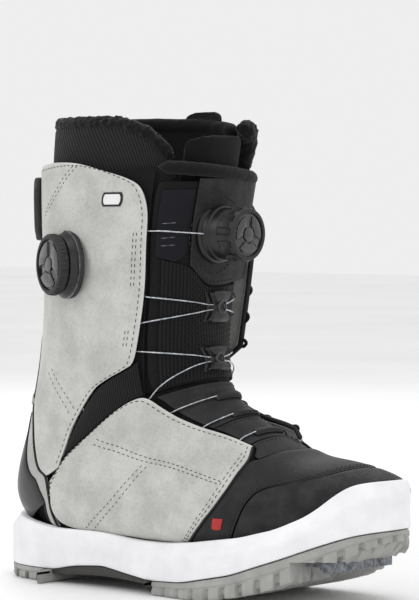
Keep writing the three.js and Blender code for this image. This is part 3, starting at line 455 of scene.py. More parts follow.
def laid_panel(name, lines, low, high, mat, fine=2.6, body="shell", replaces=(), rounding=0.6, droop=0.5,
               swell=0.0, wave=None, smooth=40):
    """A panel cut to its outlines and laid on the last, with its edges drawn down and rounded."""
    rough = on_last(*np.moveaxis(across_lines(lines, np.linspace(0, 1, 25), np.linspace(0, 1, 25)), -1, 0), high)
    rows = int(np.clip(lengths_along(rough, 0)[-1].max() / fine, 4, 160))
    cols = int(np.clip(lengths_along(rough, 1)[:, -1].max() / fine, 4, 200))
    deselect()
    bpy.ops.mesh.primitive_grid_add(x_subdivisions=cols, y_subdivisions=rows, size=1)
    piece = bpy.context.object
    flat = numbers(piece)
    i = np.rint((0.5 - flat[:, 1]) * rows).astype(int)
    j = np.rint((flat[:, 0] + 0.5) * cols).astype(int)
    va = across_lines(lines, np.linspace(0, 1, rows + 1), np.linspace(0, 1, cols + 1))
    v, a = va[..., 0], va[..., 1]
    skin = on_last(v, a, high)
    down, over = lengths_along(skin, 0), lengths_along(skin, 1)
    edge = np.minimum(np.minimum(down, down[-1] - down), np.minimum(over, over[:, -1:] - over))
    off = high - droop * np.exp(-(edge / 1.6)**2)
    if swell:
        width = np.minimum(down[-1], over[:, -1:])
        off = off + swell * np.clip(np.sin(np.pi * np.clip(edge / width, 0, 0.5)), 0, 1)**0.6
    if wave is not None:
        off = off + wave(v, a, down, over, edge)
    skin = on_last(v, a, off)
    move_to(piece, skin[i, j])
    uv = np.stack([over[i, j], down[i, j]], 1)[corner_vertices(piece)] * MM
    piece.data.uv_layers[0].data.foreach_set("uv", uv.ravel())
    piece.data.attributes.new("edge", "FLOAT", "POINT").data.foreach_set("value", edge[i, j])
    normals = np.empty(len(piece.data.polygons) * 3, np.float32)
    piece.data.polygons.foreach_get("normal", normals)
    middle = piece.data.polygons[len(piece.data.polygons) // 2]
    outward = on_last(v, a, high + 1) - on_last(v, a, high)
    k = list(middle.vertices)[0]
    if np.dot(middle.normal, outward[i[k], j[k]]) < 0:
        piece.data.flip_normals()
    wall(piece, high - low, rounding)
    return finish_piece(piece, name, mat, body, replaces, smooth)


def edge_path(lines, side, inset, start=0.0, end=1.0, count=80):
    """A line of [v, a] points that follows one side of a panel, set in from it by that many mm."""
    run = np.linspace(start, end, count)
    other = np.linspace(0, 1, 41)
    grid = across_lines(lines, run, other) if side in ("front", "rear") else across_lines(lines, other, run)
    skin = on_last(grid[..., 0], grid[..., 1], OUTER)
    axis = 1 if side in ("front", "rear") else 0
    length = lengths_along(skin, axis)
    if axis == 0:
        grid, length = np.swapaxes(grid, 0, 1), length.T
    path = []
    for row, far in zip(grid, length):
        at = inset if side in ("front", "top") else far[-1] - inset
        path.append([np.interp(at, far, row[:, 0]), np.interp(at, far, row[:, 1])])
    return np.array(path)


def stitches(name, paths, off, mat="thread", body="shell", length=2.4, gap=1.5, radius=0.34):
    """Rows of thread sewn through the leather: one stitch, copied along each path and half sunk."""
    deselect()
    bpy.ops.mesh.primitive_uv_sphere_add(segments=6, ring_count=5, radius=1)
    one = bpy.context.object
    shape = numbers(one)[:, [2, 0, 1]]
    faces = [list(f.vertices) for f in one.data.polygons]
    bpy.data.objects.remove(one)
    shape = np.stack([np.sign(shape[:, 0]) * np.abs(shape[:, 0])**0.6, shape[:, 1], shape[:, 2]], 1)
    points, polygons = [], []
    for path in paths:
        path = np.asarray(path, float)
        if len(path) < 20:
            path = spline(path, np.linspace(0, len(path) - 1, 120))
        line = on_last(path[:, 0], path[:, 1], off)
        run = run_along(line) / MM
        for start in np.arange(gap / 2, run[-1] - length, length + gap):
            ends = [np.array([np.interp(x, run, line[:, k]) for k in range(3)]) for x in (start, start + length)]
            va = [np.interp(start + length / 2, run, path[:, k]) for k in (0, 1)]
            up = out_of_last(np.array([va[0]]), np.array([va[1]]))[0]
            along = (ends[1] - ends[0]) / max(np.linalg.norm(ends[1] - ends[0]), 1e-9)
            side = np.cross(up, along)
            side /= np.linalg.norm(side)
            up = np.cross(along, side)
            middle = (ends[0] + ends[1]) / 2
            placed = (middle + shape[:, :1] * along * length / 2 * MM + shape[:, 1:2] * side * radius * MM
                      + shape[:, 2:] * up * radius * 0.8 * MM)
            base = len(points) * len(shape)
            points.append(placed)
            polygons += [[base + k for k in face] for face in faces]
    piece = new_mesh(name, np.concatenate(points), polygons)
    return finish_piece(piece, name, mat, body, smooth=80)


def tube_along(name, centres, radius, mat, body="shell", sides=10, replaces=(), flatten=1.0, ends=True, ridge=None):
    """A round cord or binding swept along its centre line, its ends closed by domes."""
    centres = np.asarray(centres, float)
    tangents = np.gradient(centres, axis=0)
    tangents /= np.linalg.norm(tangents, axis=1, keepdims=True)
    normal = np.cross(tangents[0], [0.31, 0.22, 0.93])
    normal /= np.linalg.norm(normal)
    radii = np.full(len(centres), radius, float) if np.isscalar(radius) else np.asarray(radius, float)
    if ends:
        cap = np.array([0.15, 0.6, 0.88, 1.0])
        radii[:4] *= cap
        radii[-4:] *= cap[::-1]
    rings = []
    turn = 2 * np.pi * np.arange(sides) / sides
    for k, (centre, tangent) in enumerate(zip(centres, tangents)):
        normal = normal - tangent * np.dot(tangent, normal)
        normal /= np.linalg.norm(normal)
        side = np.cross(tangent, normal)
        r = radii[k] * (1 if ridge is None else ridge(k, turn))
        rings.append(centre + MM * (np.cos(turn) * r)[:, None] * normal
                     + MM * flatten * (np.sin(turn) * r)[:, None] * side)
    points = np.concatenate(rings + [centres[:1], centres[-1:]])
    count = len(centres)
    piece = new_mesh(name, points, stacked_faces(count, sides))
    run = run_along(centres)
    along = np.concatenate([np.repeat(run, sides), run[[0, -1]]])
    around = np.concatenate([np.tile(turn * radii.max() * MM, count), [0, 0]])
    layer = piece.data.uv_layers.new(name="UVMap")
    layer.data.foreach_set("uv", np.stack([around, along], 1)[corner_vertices(piece)].ravel())
    facing_out(piece)
    return finish_piece(piece, name, mat, body, replaces, smooth=60)


def smooth_line(points, step):
    """A centripetal curve through points in metres, sampled every step mm."""
    points = np.asarray(points, float)
    ghost = np.vstack([2 * points[0] - points[1], points, 2 * points[-1] - points[-2]])
    out = []
    for k in range(1, len(ghost) - 2):
        p0, p1, p2, p3 = ghost[k - 1:k + 3]
        t0 = 0.0
        t1 = t0 + max(np.linalg.norm(p1 - p0), 1e-7)**0.5
        t2 = t1 + max(np.linalg.norm(p2 - p1), 1e-7)**0.5
        t3 = t2 + max(np.linalg.norm(p3 - p2), 1e-7)**0.5
        n = max(int(np.linalg.norm(p2 - p1) / MM / step), 2)
        for t in np.linspace(t1, t2, n, endpoint=False):
            a1 = (t1 - t) / (t1 - t0) * p0 + (t - t0) / (t1 - t0) * p1
            a2 = (t2 - t) / (t2 - t1) * p1 + (t - t1) / (t2 - t1) * p2
            a3 = (t3 - t) / (t3 - t2) * p2 + (t - t2) / (t3 - t2) * p3
            b1 = (t2 - t) / (t2 - t0) * a1 + (t - t0) / (t2 - t0) * a2
            b2 = (t3 - t) / (t3 - t1) * a2 + (t - t1) / (t3 - t1) * a3
            out.append((t2 - t) / (t2 - t1) * b1 + (t - t1) / (t2 - t1) * b2)
    out.append(points[-1])
    return np.array(out)


PRESSURE = 4.0
PUFF_STEPS = 20


def puffed(piece, voxel, cap):
    """Fills a stuffed piece by cloth simulation: remeshed, blown up, and no point moving more than cap mm."""
    only(piece)
    with_modifier(piece, "REMESH", mode="VOXEL", voxel_size=voxel * MM, use_smooth_shade=True)
    apply_modifiers(piece)
    start = numbers(piece)
    cloth = with_modifier(piece, "CLOTH")
    cloth.settings.use_pressure = True
    cloth.settings.uniform_pressure_force = PRESSURE
    cloth.settings.effector_weights.gravity = 0.0
    cloth.settings.quality = 4
    scene = bpy.context.scene
    for frame_number in range(1, PUFF_STEPS + 1):
        scene.frame_set(frame_number)
    settled = piece.evaluated_get(bpy.context.evaluated_depsgraph_get())
    flat = np.empty(len(start) * 3, np.float32)
    settled.data.vertices.foreach_get("co", flat)
    moved = flat.reshape(-1, 3).astype(float) - start
    far = np.linalg.norm(moved, axis=1, keepdims=True)
    moved *= np.minimum(1.0, cap * MM / np.maximum(far, 1e-9))
    piece.modifiers.clear()
    scene.frame_set(1)
    move_to(piece, start + moved)
    with_modifier(piece, "SUBSURF", levels=1, render_levels=1)
    apply_modifiers(piece)


# ---------- outlines on the last, as in the part: [v, degrees] ----------
CUFF_FRONT = [[0.05, 84], [0.2, 69], [0.38, 60], [0.8, 54.5], [1.4, 54], [2.1, 54.5], [2.8, 56.5], [3.42, 59.5],
              [3.58, 64], [3.72, 73], [3.88, 81], [4.15, 86.5], [4.47, 90], [4.8, 92], [5.08, 97]]
CUFF_REAR = [[0.0, 152], [0.25, 153], [0.5, 154], [0.9, 154], [1.4, 154], [2.1, 152], [2.7, 147], [3.2, 143.5],
             [3.5, 142.5], [3.75, 141], [4.0, 134.5], [4.25, 126.5], [4.6, 117], [4.9, 111], [5.1, 106.5]]
CROWN = [[0.05, 84], [-0.09, 101], [-0.12, 118], [-0.08, 135], [0.0, 152]]
STAY_TOP = [[2.62, 180], [2.62, 165], [2.64, 154], [2.75, 147.5], [3.2, 144.1], [3.5, 143.1], [3.75, 141.6],
            [4.0, 135.1], [4.25, 127.1], [4.6, 117.6], [4.9, 111.6], [5.13, 107.4], [5.5, 112], [5.85, 122],
            [6.05, 130]]
COUNTER = [[3.88, 180], [3.88, 168], [3.88, 158], [3.9, 150.6], [4.0, 146], [4.2, 139.5], [4.4, 133],
           [4.6, 127.5], [4.8, 122], [4.95, 118], [5.05, 115.6], [5.25, 115.2], [5.55, 117.6], [5.88, 128.6],
           [6.08, 134.6]]
QUARTER_TOP = [[5.24, 105.6], [5.13, 99], [5.0, 93], [4.87, 86], [4.75, 79], [4.62, 73], [4.5, 67], [4.41, 60],
               [4.42, 54], [4.6, 49.3], [5.0, 44], [5.5, 40], [6.05, 36.5], [6.7, 33], [7.3, 30], [7.85, 27.8]]
QUARTER_LOW = [[5.5, 110.6], [5.62, 113.5], [5.8, 119], [6.0, 124], [6.2, 127], [6.4, 129], [6.6, 130.5],
               [6.75, 131.5], [6.9, 132], [7.0, 132.5], [7.1, 133], [7.25, 133.5], [7.4, 133.5], [7.5, 133.5],
               [7.6, 133.5], [7.7, 133.5]]
QUARTER_FRONT = [[7.85, 27.8], [8.14, 40], [8.2, 53.5], [8.2, 67], [8.12, 80], [8.0, 93], [7.92, 106],
                 [7.82, 120], [7.7, 133.5]]
VAMP_REAR = [[7.76, 133.5], [7.88, 120], [7.98, 106], [8.06, 93], [8.18, 80], [8.26, 67], [8.26, 53],
             [8.24, 41], [8.4, 33.5], [8.54, 17], [8.64, 0]]
TOE_SEAM = [[8.5, 133.5], [8.6, 122], [8.68, 108], [8.74, 90], [8.84, 72], [9.02, 60], [9.4, 53], [9.85, 47],
            [10.25, 36], [10.45, 20], [10.5, 0]]
TOE_V = 11.9
TOE_END = [[TOE_V, a] for a in (133.5, 110, 90, 70, 55, 45, 35, 25, 16, 8, 0)]
GUSSET_UP = [[3.45, 57], [3.61, 62.6], [3.755, 72], [3.92, 79.6], [4.18, 85.1], [4.5, 88.6], [4.84, 90.8],
             [4.98, 93.8]]
GUSSET_DOWN = [[4.35, 54], [4.37, 60], [4.46, 67], [4.58, 73], [4.71, 79], [4.83, 86], [4.93, 91.6], [5.01, 94.6]]
SCALES = [[[4.5, 47], [4.75, 43], [5.2, 38.6], [5.8, 34.6], [6.38, 31.2]],
          [[6.42, 31], [6.8, 29], [7.2, 27.4], [7.66, 25.4]]]
SCALE_LAST = [[7.7, 25.2], [7.85, 25], [8.0, 28], [8.14, 33.4]]
SCALE_LOW = LINING_OUT + 2 * GAP
SCALE_OUT = SCALE_LOW + 1.2
CROSS_AT = SCALE_OUT + GAP + 0.4 + 0.5
TUNNELS = [(5.12, 0.2), (6.16, 0.16), (7.34, 0.16)]
TUNNEL_A = 15
SEAM_V = 0.02
HINGE_V = 4.38


def flip(points):
    return [[v, -a] for v, a in points]


def pairs(one, two):
    return [[p, q] for p, q in zip(one, two)]


def across(points):
    return [[[v, a], [v, -a]] for v, a in points]


def over_front(points):
    return points + flip(points)[:-1][::-1]


def mirrored(points):
    return [[v, 360 - a] for v, a in points[1:]][::-1] + points


def shifted(points, dv, da):
    return [[v + dv, a + da] for v, a in points]


# ---------- upper ----------
FLAP_LIFT = 9.5         # how far the inner flap's front edge stands off, in mm
FLAP_LAP = 8            # how far round it laps the tongue, in degrees
INSTEP_LIFT = 5.5


def open_part(v):
    """1 along the part of the inner flap's front edge that stands off the tongue, falling to 0 beyond it."""
    v = np.asarray(v, float)
    return np.clip((v - 0.3) / 0.6, 0, 1) * np.clip((3.75 - v) / 0.5, 0, 1)


def lift_of_cuff(v, a, down, over, edge):
    """The inner flap's front edge stands off the tongue, where the laces come out from under it."""
    return FLAP_LIFT * np.exp(-(over / 11.0)**2) * open_part(v)


def lift_of_quarter(v, a, down, over, edge):
    """The same for the inner instep flap."""
    return INSTEP_LIFT * np.exp(-(over / 8.0)**2) * np.clip((v - 4.6) / 0.5, 0, 1) * np.clip((8.0 - v) / 0.6, 0, 1)


def make_cuff():
    cuff = [CROWN] + pairs(CUFF_FRONT, CUFF_REAR)[1:]
    for side, name in ((1, "outer"), (-1, "inner")):
        lines = cuff
        if side < 0:
            lines = [flip(CROWN)] + [[[f[0], -f[1] + FLAP_LAP * float(open_part(f[0]))], [r[0], -r[1]]]
                                     for f, r in cuff[1:]]
        laid_panel(f"cuff_leather_{name}", lines, INNER, OUTER, "cuff", replaces=[f"cuff_{name}"], fine=2.4,
                   wave=None if side > 0 else lift_of_cuff)
        sign = [1, side]
        rows = [edge_path(lines, "front", 3.2, 0.02, 0.985), edge_path(lines, "top", 3.2, 0.05, 0.97)]
        rows += [np.array(line) * sign for line in (
            [[-0.06, 100], [0.16, 107], [0.41, 114], [0.66, 122.3], [0.84, 130.2]],
            [[-0.06, 103], [0.16, 110], [0.41, 117], [0.66, 125.3], [0.84, 133.2]],
            [[3.26, 118], [3.68, 105.6], [4.19, 91.4]], [[3.32, 121], [3.74, 108.6], [4.25, 94.2]],
            [[1.1, 59.2], [2.02, 60.5]], [[1.1, 61], [2.02, 62.3]],
            [[2.72, 62.4], [3.1, 63.6]], [[2.72, 64.3], [3.1, 65.5]])]
        stitches(f"cuff_stitching_{name}", rows, OUTER - 0.1)


def make_quarter():
    quarter = pairs(QUARTER_TOP, QUARTER_LOW)[:-1] + [QUARTER_FRONT]
    for side, name in ((1, "outer"), (-1, "inner")):
        lines = quarter if side > 0 else [flip(line) for line in quarter]
        laid_panel(f"quarter_leather_{name}", lines, INNER, OUTER, "cuff", replaces=[f"quarter_{name}"], fine=2.4,
                   wave=None if side > 0 else lift_of_quarter)
        sign = [1, side]
        rows = [edge_path(lines, "front", 3.0, 0.0, 0.97), edge_path(lines, "low", 3.0, 0.03, 0.95),
                edge_path(lines, "low", 5.6, 0.1, 0.95), edge_path(lines, "front", 6.2, 0.0, 0.26)]
        rows += [np.array(line) * sign for line in (
            [[4.9, 75.6], [5.44, 67.2], [6.38, 62.6], [7.12, 63], [8.02, 63.6]],
            [[4.98, 77.2], [5.5, 69.4], [6.38, 65], [7.12, 65.4], [8.02, 66]],
            [[6.3, 67.2], [6.46, 88.6], [6.5, 108], [6.5, 128]],
            [[6.2, 67.4], [6.36, 88.6], [6.4, 108], [6.4, 126]])]
        stitches(f"quarter_stitching_{name}", rows, OUTER - 0.1)
        welt = np.array([[v + 0.005, a] for v, a in QUARTER_FRONT], float) * sign
        line = spline(welt, np.linspace(0, len(welt) - 1, 110))
        tube_along(f"quarter_edge_binding_{name}", on_last(line[:, 0] + 0.022, line[:, 1], OUTER - 0.35), 0.75, "vamp")


def make_ankle_gussets():
    for side, name in ((1, "outer"), (-1, "inner")):
        lines = pairs(GUSSET_UP, GUSSET_DOWN)
        lines = lines if side > 0 else [flip(line) for line in lines]
        laid_panel(f"ankle_mesh_{name}", lines, INNER, INNER + 1.0, "gusset", replaces=[f"ankle_gusset_{name}"],
                   rounding=0.2, droop=0.1, swell=0.7, fine=2.0)


def make_heel():
    stay = [mirrored(shifted(STAY_TOP, 0.01, 0.4)), mirrored(COUNTER)]
    laid_panel("backstay_leather", stay, INNER, OUTER - 0.4, "stay", replaces=["backstay"], fine=2.0, droop=0.3)
    lower = shifted(COUNTER[3:13], SEAM_V, 0.8)
    counter = [[[v, a], [v, 360 - a]] for v, a in lower]
    laid_panel("heel_counter_shell", counter, INNER, OUTER, "heel", replaces=["heel_counter"], droop=0.7, swell=0.5)
    for sign, name in ((1, "outer"), (-1, "inner")):
        welt = spline(np.array(STAY_TOP[2:], float), np.linspace(0, len(STAY_TOP) - 3, 120)) * [1, sign]
        tube_along(f"cuff_piping_{name}", on_last(welt[:, 0] + 0.008, welt[:, 1] + sign * 0.2, OUTER - 0.45), 0.8,
                   "vamp")
        edge = spline(np.array(COUNTER[3:14], float), np.linspace(0, 10, 100)) * [1, sign]
        tube_along(f"counter_edge_{name}", on_last(edge[:, 0] + 0.012, edge[:, 1] + sign * 0.3, OUTER - 0.35), 0.7,
                   "vamp")


def make_spine():
    spine = [[0.03, 154.8], [0.5, 155], [1.0, 155], [1.6, 155], [2.2, 153], [2.57, 150.4]]
    laid_panel("spine_leather", [[[v, a], [v, 360 - a]] for v, a in spine], INNER, OUTER, "black",
               replaces=["spine_panel"], fine=2.6)
    pad = [[[0.12, 152], [0.12, 208]], [[0.35, 149], [0.35, 211]], [[1.0, 149], [1.0, 211]],
           [[1.25, 153], [1.25, 207]]]
    piece = laid_panel("spine_pad_cushion", pad, OUTER + GAP + 0.2, OUTER + GAP + 5.2, "heel", body=None, fine=2.0,
                       rounding=2.2, droop=0.8)
    puffed(piece, 1.7, 1.2)
    finish_piece(piece, "spine_pad_cushion", "heel", "shell", ["spine_pad"], smooth=70)


def make_vamp():
    vamp = [over_front(VAMP_REAR), over_front(shifted(TOE_SEAM, -SEAM_V, 0))]
    laid_panel("vamp_leather", vamp, INNER, OUTER, "vamp", replaces=["vamp"], fine=2.4)
    toe = [over_front(shifted(TOE_SEAM, SEAM_V, 0)), over_front(TOE_END)]
    laid_panel("toe_cap_leather", toe, INNER, OUTER, "toe", replaces=["toe_cap"], fine=2.2, droop=0.6)
    rows = [edge_path(vamp, "low", 2.2, 0.0, 1.0, 160), edge_path(vamp, "low", 4.4, 0.0, 1.0, 160)]
    stitches("toe_seam_stitching", rows, OUTER, "black_thread", length=2.6, gap=1.1, radius=0.42)


def make_straps():
    for i, edge in enumerate(SCALES + [None]):
        lines = across(edge) if edge else across(SCALE_LAST) + [[[8.3, 32.6], [8.42, 17], [8.52, 0], [8.42, -17],
                                                                   [8.3, -32.6]]]
        laid_panel(f"instep_strap_leather_{i + 1}", lines, SCALE_LOW, SCALE_OUT, "strap",
                   replaces=[f"instep_strap_{i + 1}"], fine=2.2, droop=0.2, rounding=0.4)
        rows = [edge_path(lines, "top", inset, 0.06, 0.94) for inset in ((2.2, 7.4, 10.4) if i == 0 else (2.2,))]
        stitches(f"strap_stitching_{i + 1}", rows, SCALE_OUT, "black_thread", radius=0.4)
    low = SCALE_OUT + GAP
    for i, (v, half) in enumerate(TUNNELS):
        lines = across([[v - half, TUNNEL_A], [v - half * 0.4, TUNNEL_A + 1.2], [v + half * 0.4, TUNNEL_A + 1.2],
                        [v + half, TUNNEL_A]])
        laid_panel(f"lace_tunnel_leather_{i + 1}", lines, low + 1.55, low + 2.3, "strap",
                   replaces=[f"lace_tunnel_{i + 1}"], fine=1.2, droop=1.6, rounding=0.25)
        stitches(f"tunnel_stitching_{i + 1}", [edge_path(lines, "low", 1.2, 0.1, 0.9)], low + 1.7, "black_thread",
                 length=1.8, gap=0.9, radius=0.3)


# ---------- tongue ----------
TONGUE_EDGE = [[0.28, 50], [0.5, 51.5], [0.9, 51.5], [1.6, 51.5], [2.4, 51.5], [3.2, 51.5], [3.9, 51],
               [HINGE_V - SEAM_V, 48]]
LEATHER_LOW = [[1.66, 26.5], [1.96, 12], [2.01, -1], [1.96, -24], [1.9, -46]]
GUIDES = [("upper", (2.1, 2.7), (11, -15), (2.35, 2.45)), ("lower", (3.25, 4.1), (14, -12), (3.6, 3.76))]
LANE_AT = MESH_OUT + GAP + 1.7


def make_tongue():
    laid_panel("tongue_body", across(TONGUE_EDGE), LINING_IN, TONGUE_OUT, "lining", body="tongue",
               replaces=["tongue_shell"], fine=4, rounding=0.8)
    pad = [[[0.22, a] for _, a in LEATHER_LOW], LEATHER_LOW]
    plump = lambda v, a, down, over, edge: 6.5 * np.clip((-a - 20) / 26, 0, 1)**1.2
    laid_panel("tongue_pad_leather", pad, ON_TONGUE, ON_TONGUE + 1.6, "black", body="tongue",
               replaces=["tongue_leather"], fine=1.8, droop=0.7, wave=plump)
    turn = np.linspace(0, 2 * np.pi, 90)
    ring = np.stack([1.17 + 0.62 * np.sin(turn), 3 + 25.5 * np.cos(turn)], 1)
    rows = [edge_path(pad, "low", 2.4, 0.02, 0.98, 120), edge_path(pad, "front", 2.0, 0.02, 0.97), ring]
    stitches("tongue_pad_stitching", rows, ON_TONGUE + 1.75, "black_thread", body="tongue", length=2.2, radius=0.42)
    label = [[[0.42, 48], [0.42, 27.8]], [[1.1, 48.3], [1.1, 27.8]], [[1.36, 48.4], [1.38, 28.4]],
             [[1.48, 48.5], [1.52, 31.5]], [[1.5, 48.6], [1.6, 37]]]
    laid_panel("woven_label", label, ON_TONGUE, ON_TONGUE + 0.7, "label", body="tongue", replaces=["tongue_label"],
               fine=2.0, droop=0.3, rounding=0.25)
    bars = [[[0.98, 46], [0.96, 30]], [[1.22, 46], [1.2, 36]], [[1.34, 46], [1.32, 30.4]]]
    stitches("label_woven_lines", [np.array(bar) for bar in bars], ON_TONGUE + 0.8, "label_line", body="tongue",
             length=9.0, gap=0.6, radius=0.22)
    top = [[1.56, 45], [1.7, 26.5], [2.0, 12], [2.05, -1], [2.0, -24], [1.94, -45]]
    rib = lambda v, a, down, over, edge: 0.28 * np.sin(2 * np.pi * down / 3.2) * np.clip(edge / 2, 0, 1)
    laid_panel("tongue_ribbed_mesh", [top, [[4.3, a] for _, a in top]], ON_TONGUE, MESH_OUT, "tongue_mesh",
               body="tongue", replaces=["tongue_mesh"], fine=0.9, droop=0.2, rounding=0.2, wave=rib)
    turns = np.linspace(-60, 52, 56)
    flare = 9.0 * np.clip((-turns - 18) / 38, 0, 1)**1.3
    rim = on_last(0.14 - 0.0022 * (turns + 10), turns, (LINING_IN + TONGUE_OUT) / 2 + 0.9 + flare)
    crease = lambda k, turn: 1 + 0.03 * np.sin(k * 1.9 + 2 * turn) + 0.02 * np.cos(3 * turn + k)
    tube_along("tongue_top_piping", rim, 4.2, "cloth", body="tongue", sides=28, replaces=["tongue_piping"],
               ridge=crease)


def piece_size(piece):
    """Width and length of the cloth as a rectangle: its length down the shaft, and half its mesh's area over that."""
    points = numbers(piece)
    length = points[:, 2].max() - points[:, 2].min()
    area = sum(face.area for face in piece.data.polygons) / 2
    return area / length, length


def make_tongue_gussets():
    facet = 360 / 20
    for side, name in ((1, "outer"), (-1, "inner")):
        fold = [[[v, n * facet * side] for v in (0.4, 0.8, 1.6, 2.4, 3.2, 3.7, 4.1, 4.3)] for n in (2.5, 3, 4)]
        piece = laid_panel(f"tongue_gusset_cloth_{name}", fold, LINING_IN - GAP - 0.5, LINING_IN - GAP, "lining",
                           body=None, replaces=[f"tongue_gusset_{name}"], rounding=0.0, droop=0.0, fine=4)
        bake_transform(piece)
        piece_size(piece)


def make_lace_guides():
    low = MESH_OUT + GAP
    for name, (v0, v1), (a0, a1), _ in GUIDES:
        middle, half = (a0 + a1) / 2, (a0 - a1) / 2
        lines = []
        for x in np.linspace(0, 1, 15):
            corner = math.exp(-(min(x, 1 - x) / 0.055)**2)
            w = half * (0.56 + 0.52 * abs(2 * x - 1)**1.6) * (1 - 0.3 * corner)
            lines.append([[v0 + (v1 - v0) * x, middle + w], [v0 + (v1 - v0) * x, middle - w]])
        hump = lambda v, a, down, over, edge: (
            -1.5 * np.exp(-((down / down[-1] - 0.5) / 0.13)**2)
            - 2.0 * np.clip(1 - edge / 2.6, 0, 1)**2
            + 0.8 * np.exp(-((a - middle) / 5)**2) * np.abs(2 * down / down[-1] - 1))
        laid_panel(f"moulded_guide_{name}", lines, low + 0.1, low + 4.6, "nylon", body="tongue",
                   replaces=[f"lace_guide_{name}"], fine=0.8, droop=0.5, rounding=0.5, wave=hump)
        foot = [[[v0 + 0.02 + (v1 - v0 - 0.04) * x, middle + half * (1.16 - 0.25 * math.sin(math.pi * x))],
                 [v0 + 0.02 + (v1 - v0 - 0.04) * x, middle - half * (1.16 - 0.25 * math.sin(math.pi * x))]]
                for x in np.linspace(0, 1, 7)]
        ring = np.linspace(0, 2 * np.pi, 40)
        boss = on_last((v0 + v1) / 2 + 0.36 * (v1 - v0) / 0.6 * 0.34 * np.sin(ring), middle + 4.2 * np.cos(ring),
                       low + 4.3)
        tube_along(f"guide_boss_{name}", boss, 0.55, "gloss_black", body="tongue", sides=10, ends=False)
        laid_panel(f"guide_base_{name}", foot, MESH_OUT + 0.1, low + 0.7, "grip", body="tongue", fine=1.2, droop=0.3,
                   rounding=0.25)


# ---------- liner ----------
LINER_SLOT = 40


def rim_of_liner(a):
    """Height on the last of the liner's top edge: full behind, falling to the front of each side."""
    a = np.asarray(a, float)
    outer = np.interp(a, [41, 50, 62, 78, 92, 270], [0.1, -0.14, -0.5, -0.76, -0.84, -0.84])
    inner = np.interp(a, [250, 275, 300, 319], [-0.06, 0.0, 0.12, 0.3])
    return outer + inner


def make_liner():
    half = LINER_SLOT + 1
    turns = np.linspace(half, 360 - half, 40)
    top = rim_of_liner(turns)
    ring = [[[v0 + (4.35 - v0) * share, a] for v0, a in zip(top, turns)] for share in (0, 0.1, 0.3, 0.5, 0.7, 0.85, 1)]
    laid_panel("liner_shaft_cover", ring, LINER_OUT - 4.5, LINER_OUT + 0.2, "liner_mesh", replaces=["liner"], fine=3.0,
               rounding=1.5, droop=0.8)
    facing = [[[v0 + 0.05 + (1.2 - v0) * share, a] for v0, a in zip(top, turns)] for share in (0, 0.4, 1)]
    laid_panel("liner_inside_facing", facing, LINER_IN - 0.2, LINER_OUT - 4.7, "cloth_plain", fine=4, rounding=0.6)
    wool = lambda k, turn: (1 + 0.10 * np.sin(k * 1.7 + 3.1 * turn) * np.cos(k * 0.9 - 2.2 * turn)
                            + 0.07 * np.sin(k * 3.3 + 5 * turn))
    a = np.linspace(half + 1, 236, 90)
    centres = on_last(rim_of_liner(a) - 0.11, a, (LINER_IN + LINER_OUT) / 2 - 0.6)
    piece = tube_along("fleece_collar", centres, 4.9, "fleece", body=None, sides=26, ridge=wool)
    puffed(piece, 2.4, 1.5)
    piece = finish_piece(piece, "fleece_collar", "fleece", "shell", ["liner_collar"], smooth=80)
    curl(piece, 0.5, 2.6)
    a = np.linspace(205, 360 - half - 1, 80)
    centres = on_last(rim_of_liner(a) - 0.12, a, (LINER_IN + LINER_OUT) / 2 - 1.0)
    crease = lambda k, turn: 1 + 0.03 * np.sin(k * 0.8 + 2 * turn)
    piece = tube_along("smooth_collar_roll", centres, 5.0, "cloth_plain", body=None, sides=24, ridge=crease)
    puffed(piece, 3.0, 1.2)
    finish_piece(piece, "smooth_collar_roll", "cloth_plain", "shell", ["liner_collar"], smooth=80)
    tab = [[[-1.28, 276], [-1.28, 290]], [[-1.23, 272], [-1.23, 294]], [[-1.12, 269.5], [-1.12, 296.5]],
           [[-0.8, 268.5], [-0.8, 297.5]]]
    laid_panel("pull_tab_webbing", tab, LINER_IN + 1.2, LINER_IN + 3.4, "gusset", replaces=["liner_pull_tab"], fine=1.2,
               droop=0.3, rounding=0.6)


def curl(piece, depth, size):
    """Raises a curly pile: lumps of that size, pushed out along the skin."""
    mesh = piece.data
    normals = np.empty(len(mesh.vertices) * 3, np.float32)
    mesh.vertices.foreach_get("normal", normals)
    points = numbers(piece)
    lift = np.array([noise.turbulence(Vector(p) * (1000 / size), 2, False) for p in points])
    move_to(piece, points + normals.reshape(-1, 3) * (lift - 0.35)[:, None] * depth * 2 * MM)


def make_liner_tongue():
    half = LINER_SLOT - 1.6
    lines = [[[-0.62, -half + 12], [-0.62, half - 12]], [[-0.56, -half + 4], [-0.56, half - 4]],
             [[-0.4, -half], [-0.4, half]], [[0.6, -half], [0.6, half]],
             [[2, -half], [2, half]], [[4.08, -half], [4.08, half]]]
    piece = laid_panel("liner_tongue_pad", lines, LINER_IN + 0.6, LINER_OUT - 1.6, "cloth_plain", body=None, fine=3.0,
                       rounding=1.6, droop=0.6)
    puffed(piece, 2.4, 1.0)
    finish_piece(piece, "liner_tongue_pad", "cloth_plain", "liner_tongue", ["liner_tongue"], smooth=80)
    path = spline(np.array([[-0.66, -24, -6.5], [-0.74, -30, -5.0], [-0.66, -36, -4.0], [-0.42, -39.5, -3.5],
                            [-0.15, -41, -4.0], [0.05, -42, -5.0]]), np.linspace(0, 5, 50))
    wool = lambda k, turn: 1 + 0.09 * np.sin(k * 1.9 + 3.1 * turn) + 0.06 * np.sin(k * 3.7 + 5 * turn)
    piece = tube_along("tongue_fleece_edge", on_last(path[:, 0], path[:, 1], path[:, 2]), 6.4, "fleece", body=None,
                       sides=26, ridge=wool)
    puffed(piece, 2.4, 1.2)
    piece = finish_piece(piece, "tongue_fleece_edge", "fleece", "liner_tongue", ["liner_tongue"], smooth=80)
    curl(piece, 0.55, 2.6)


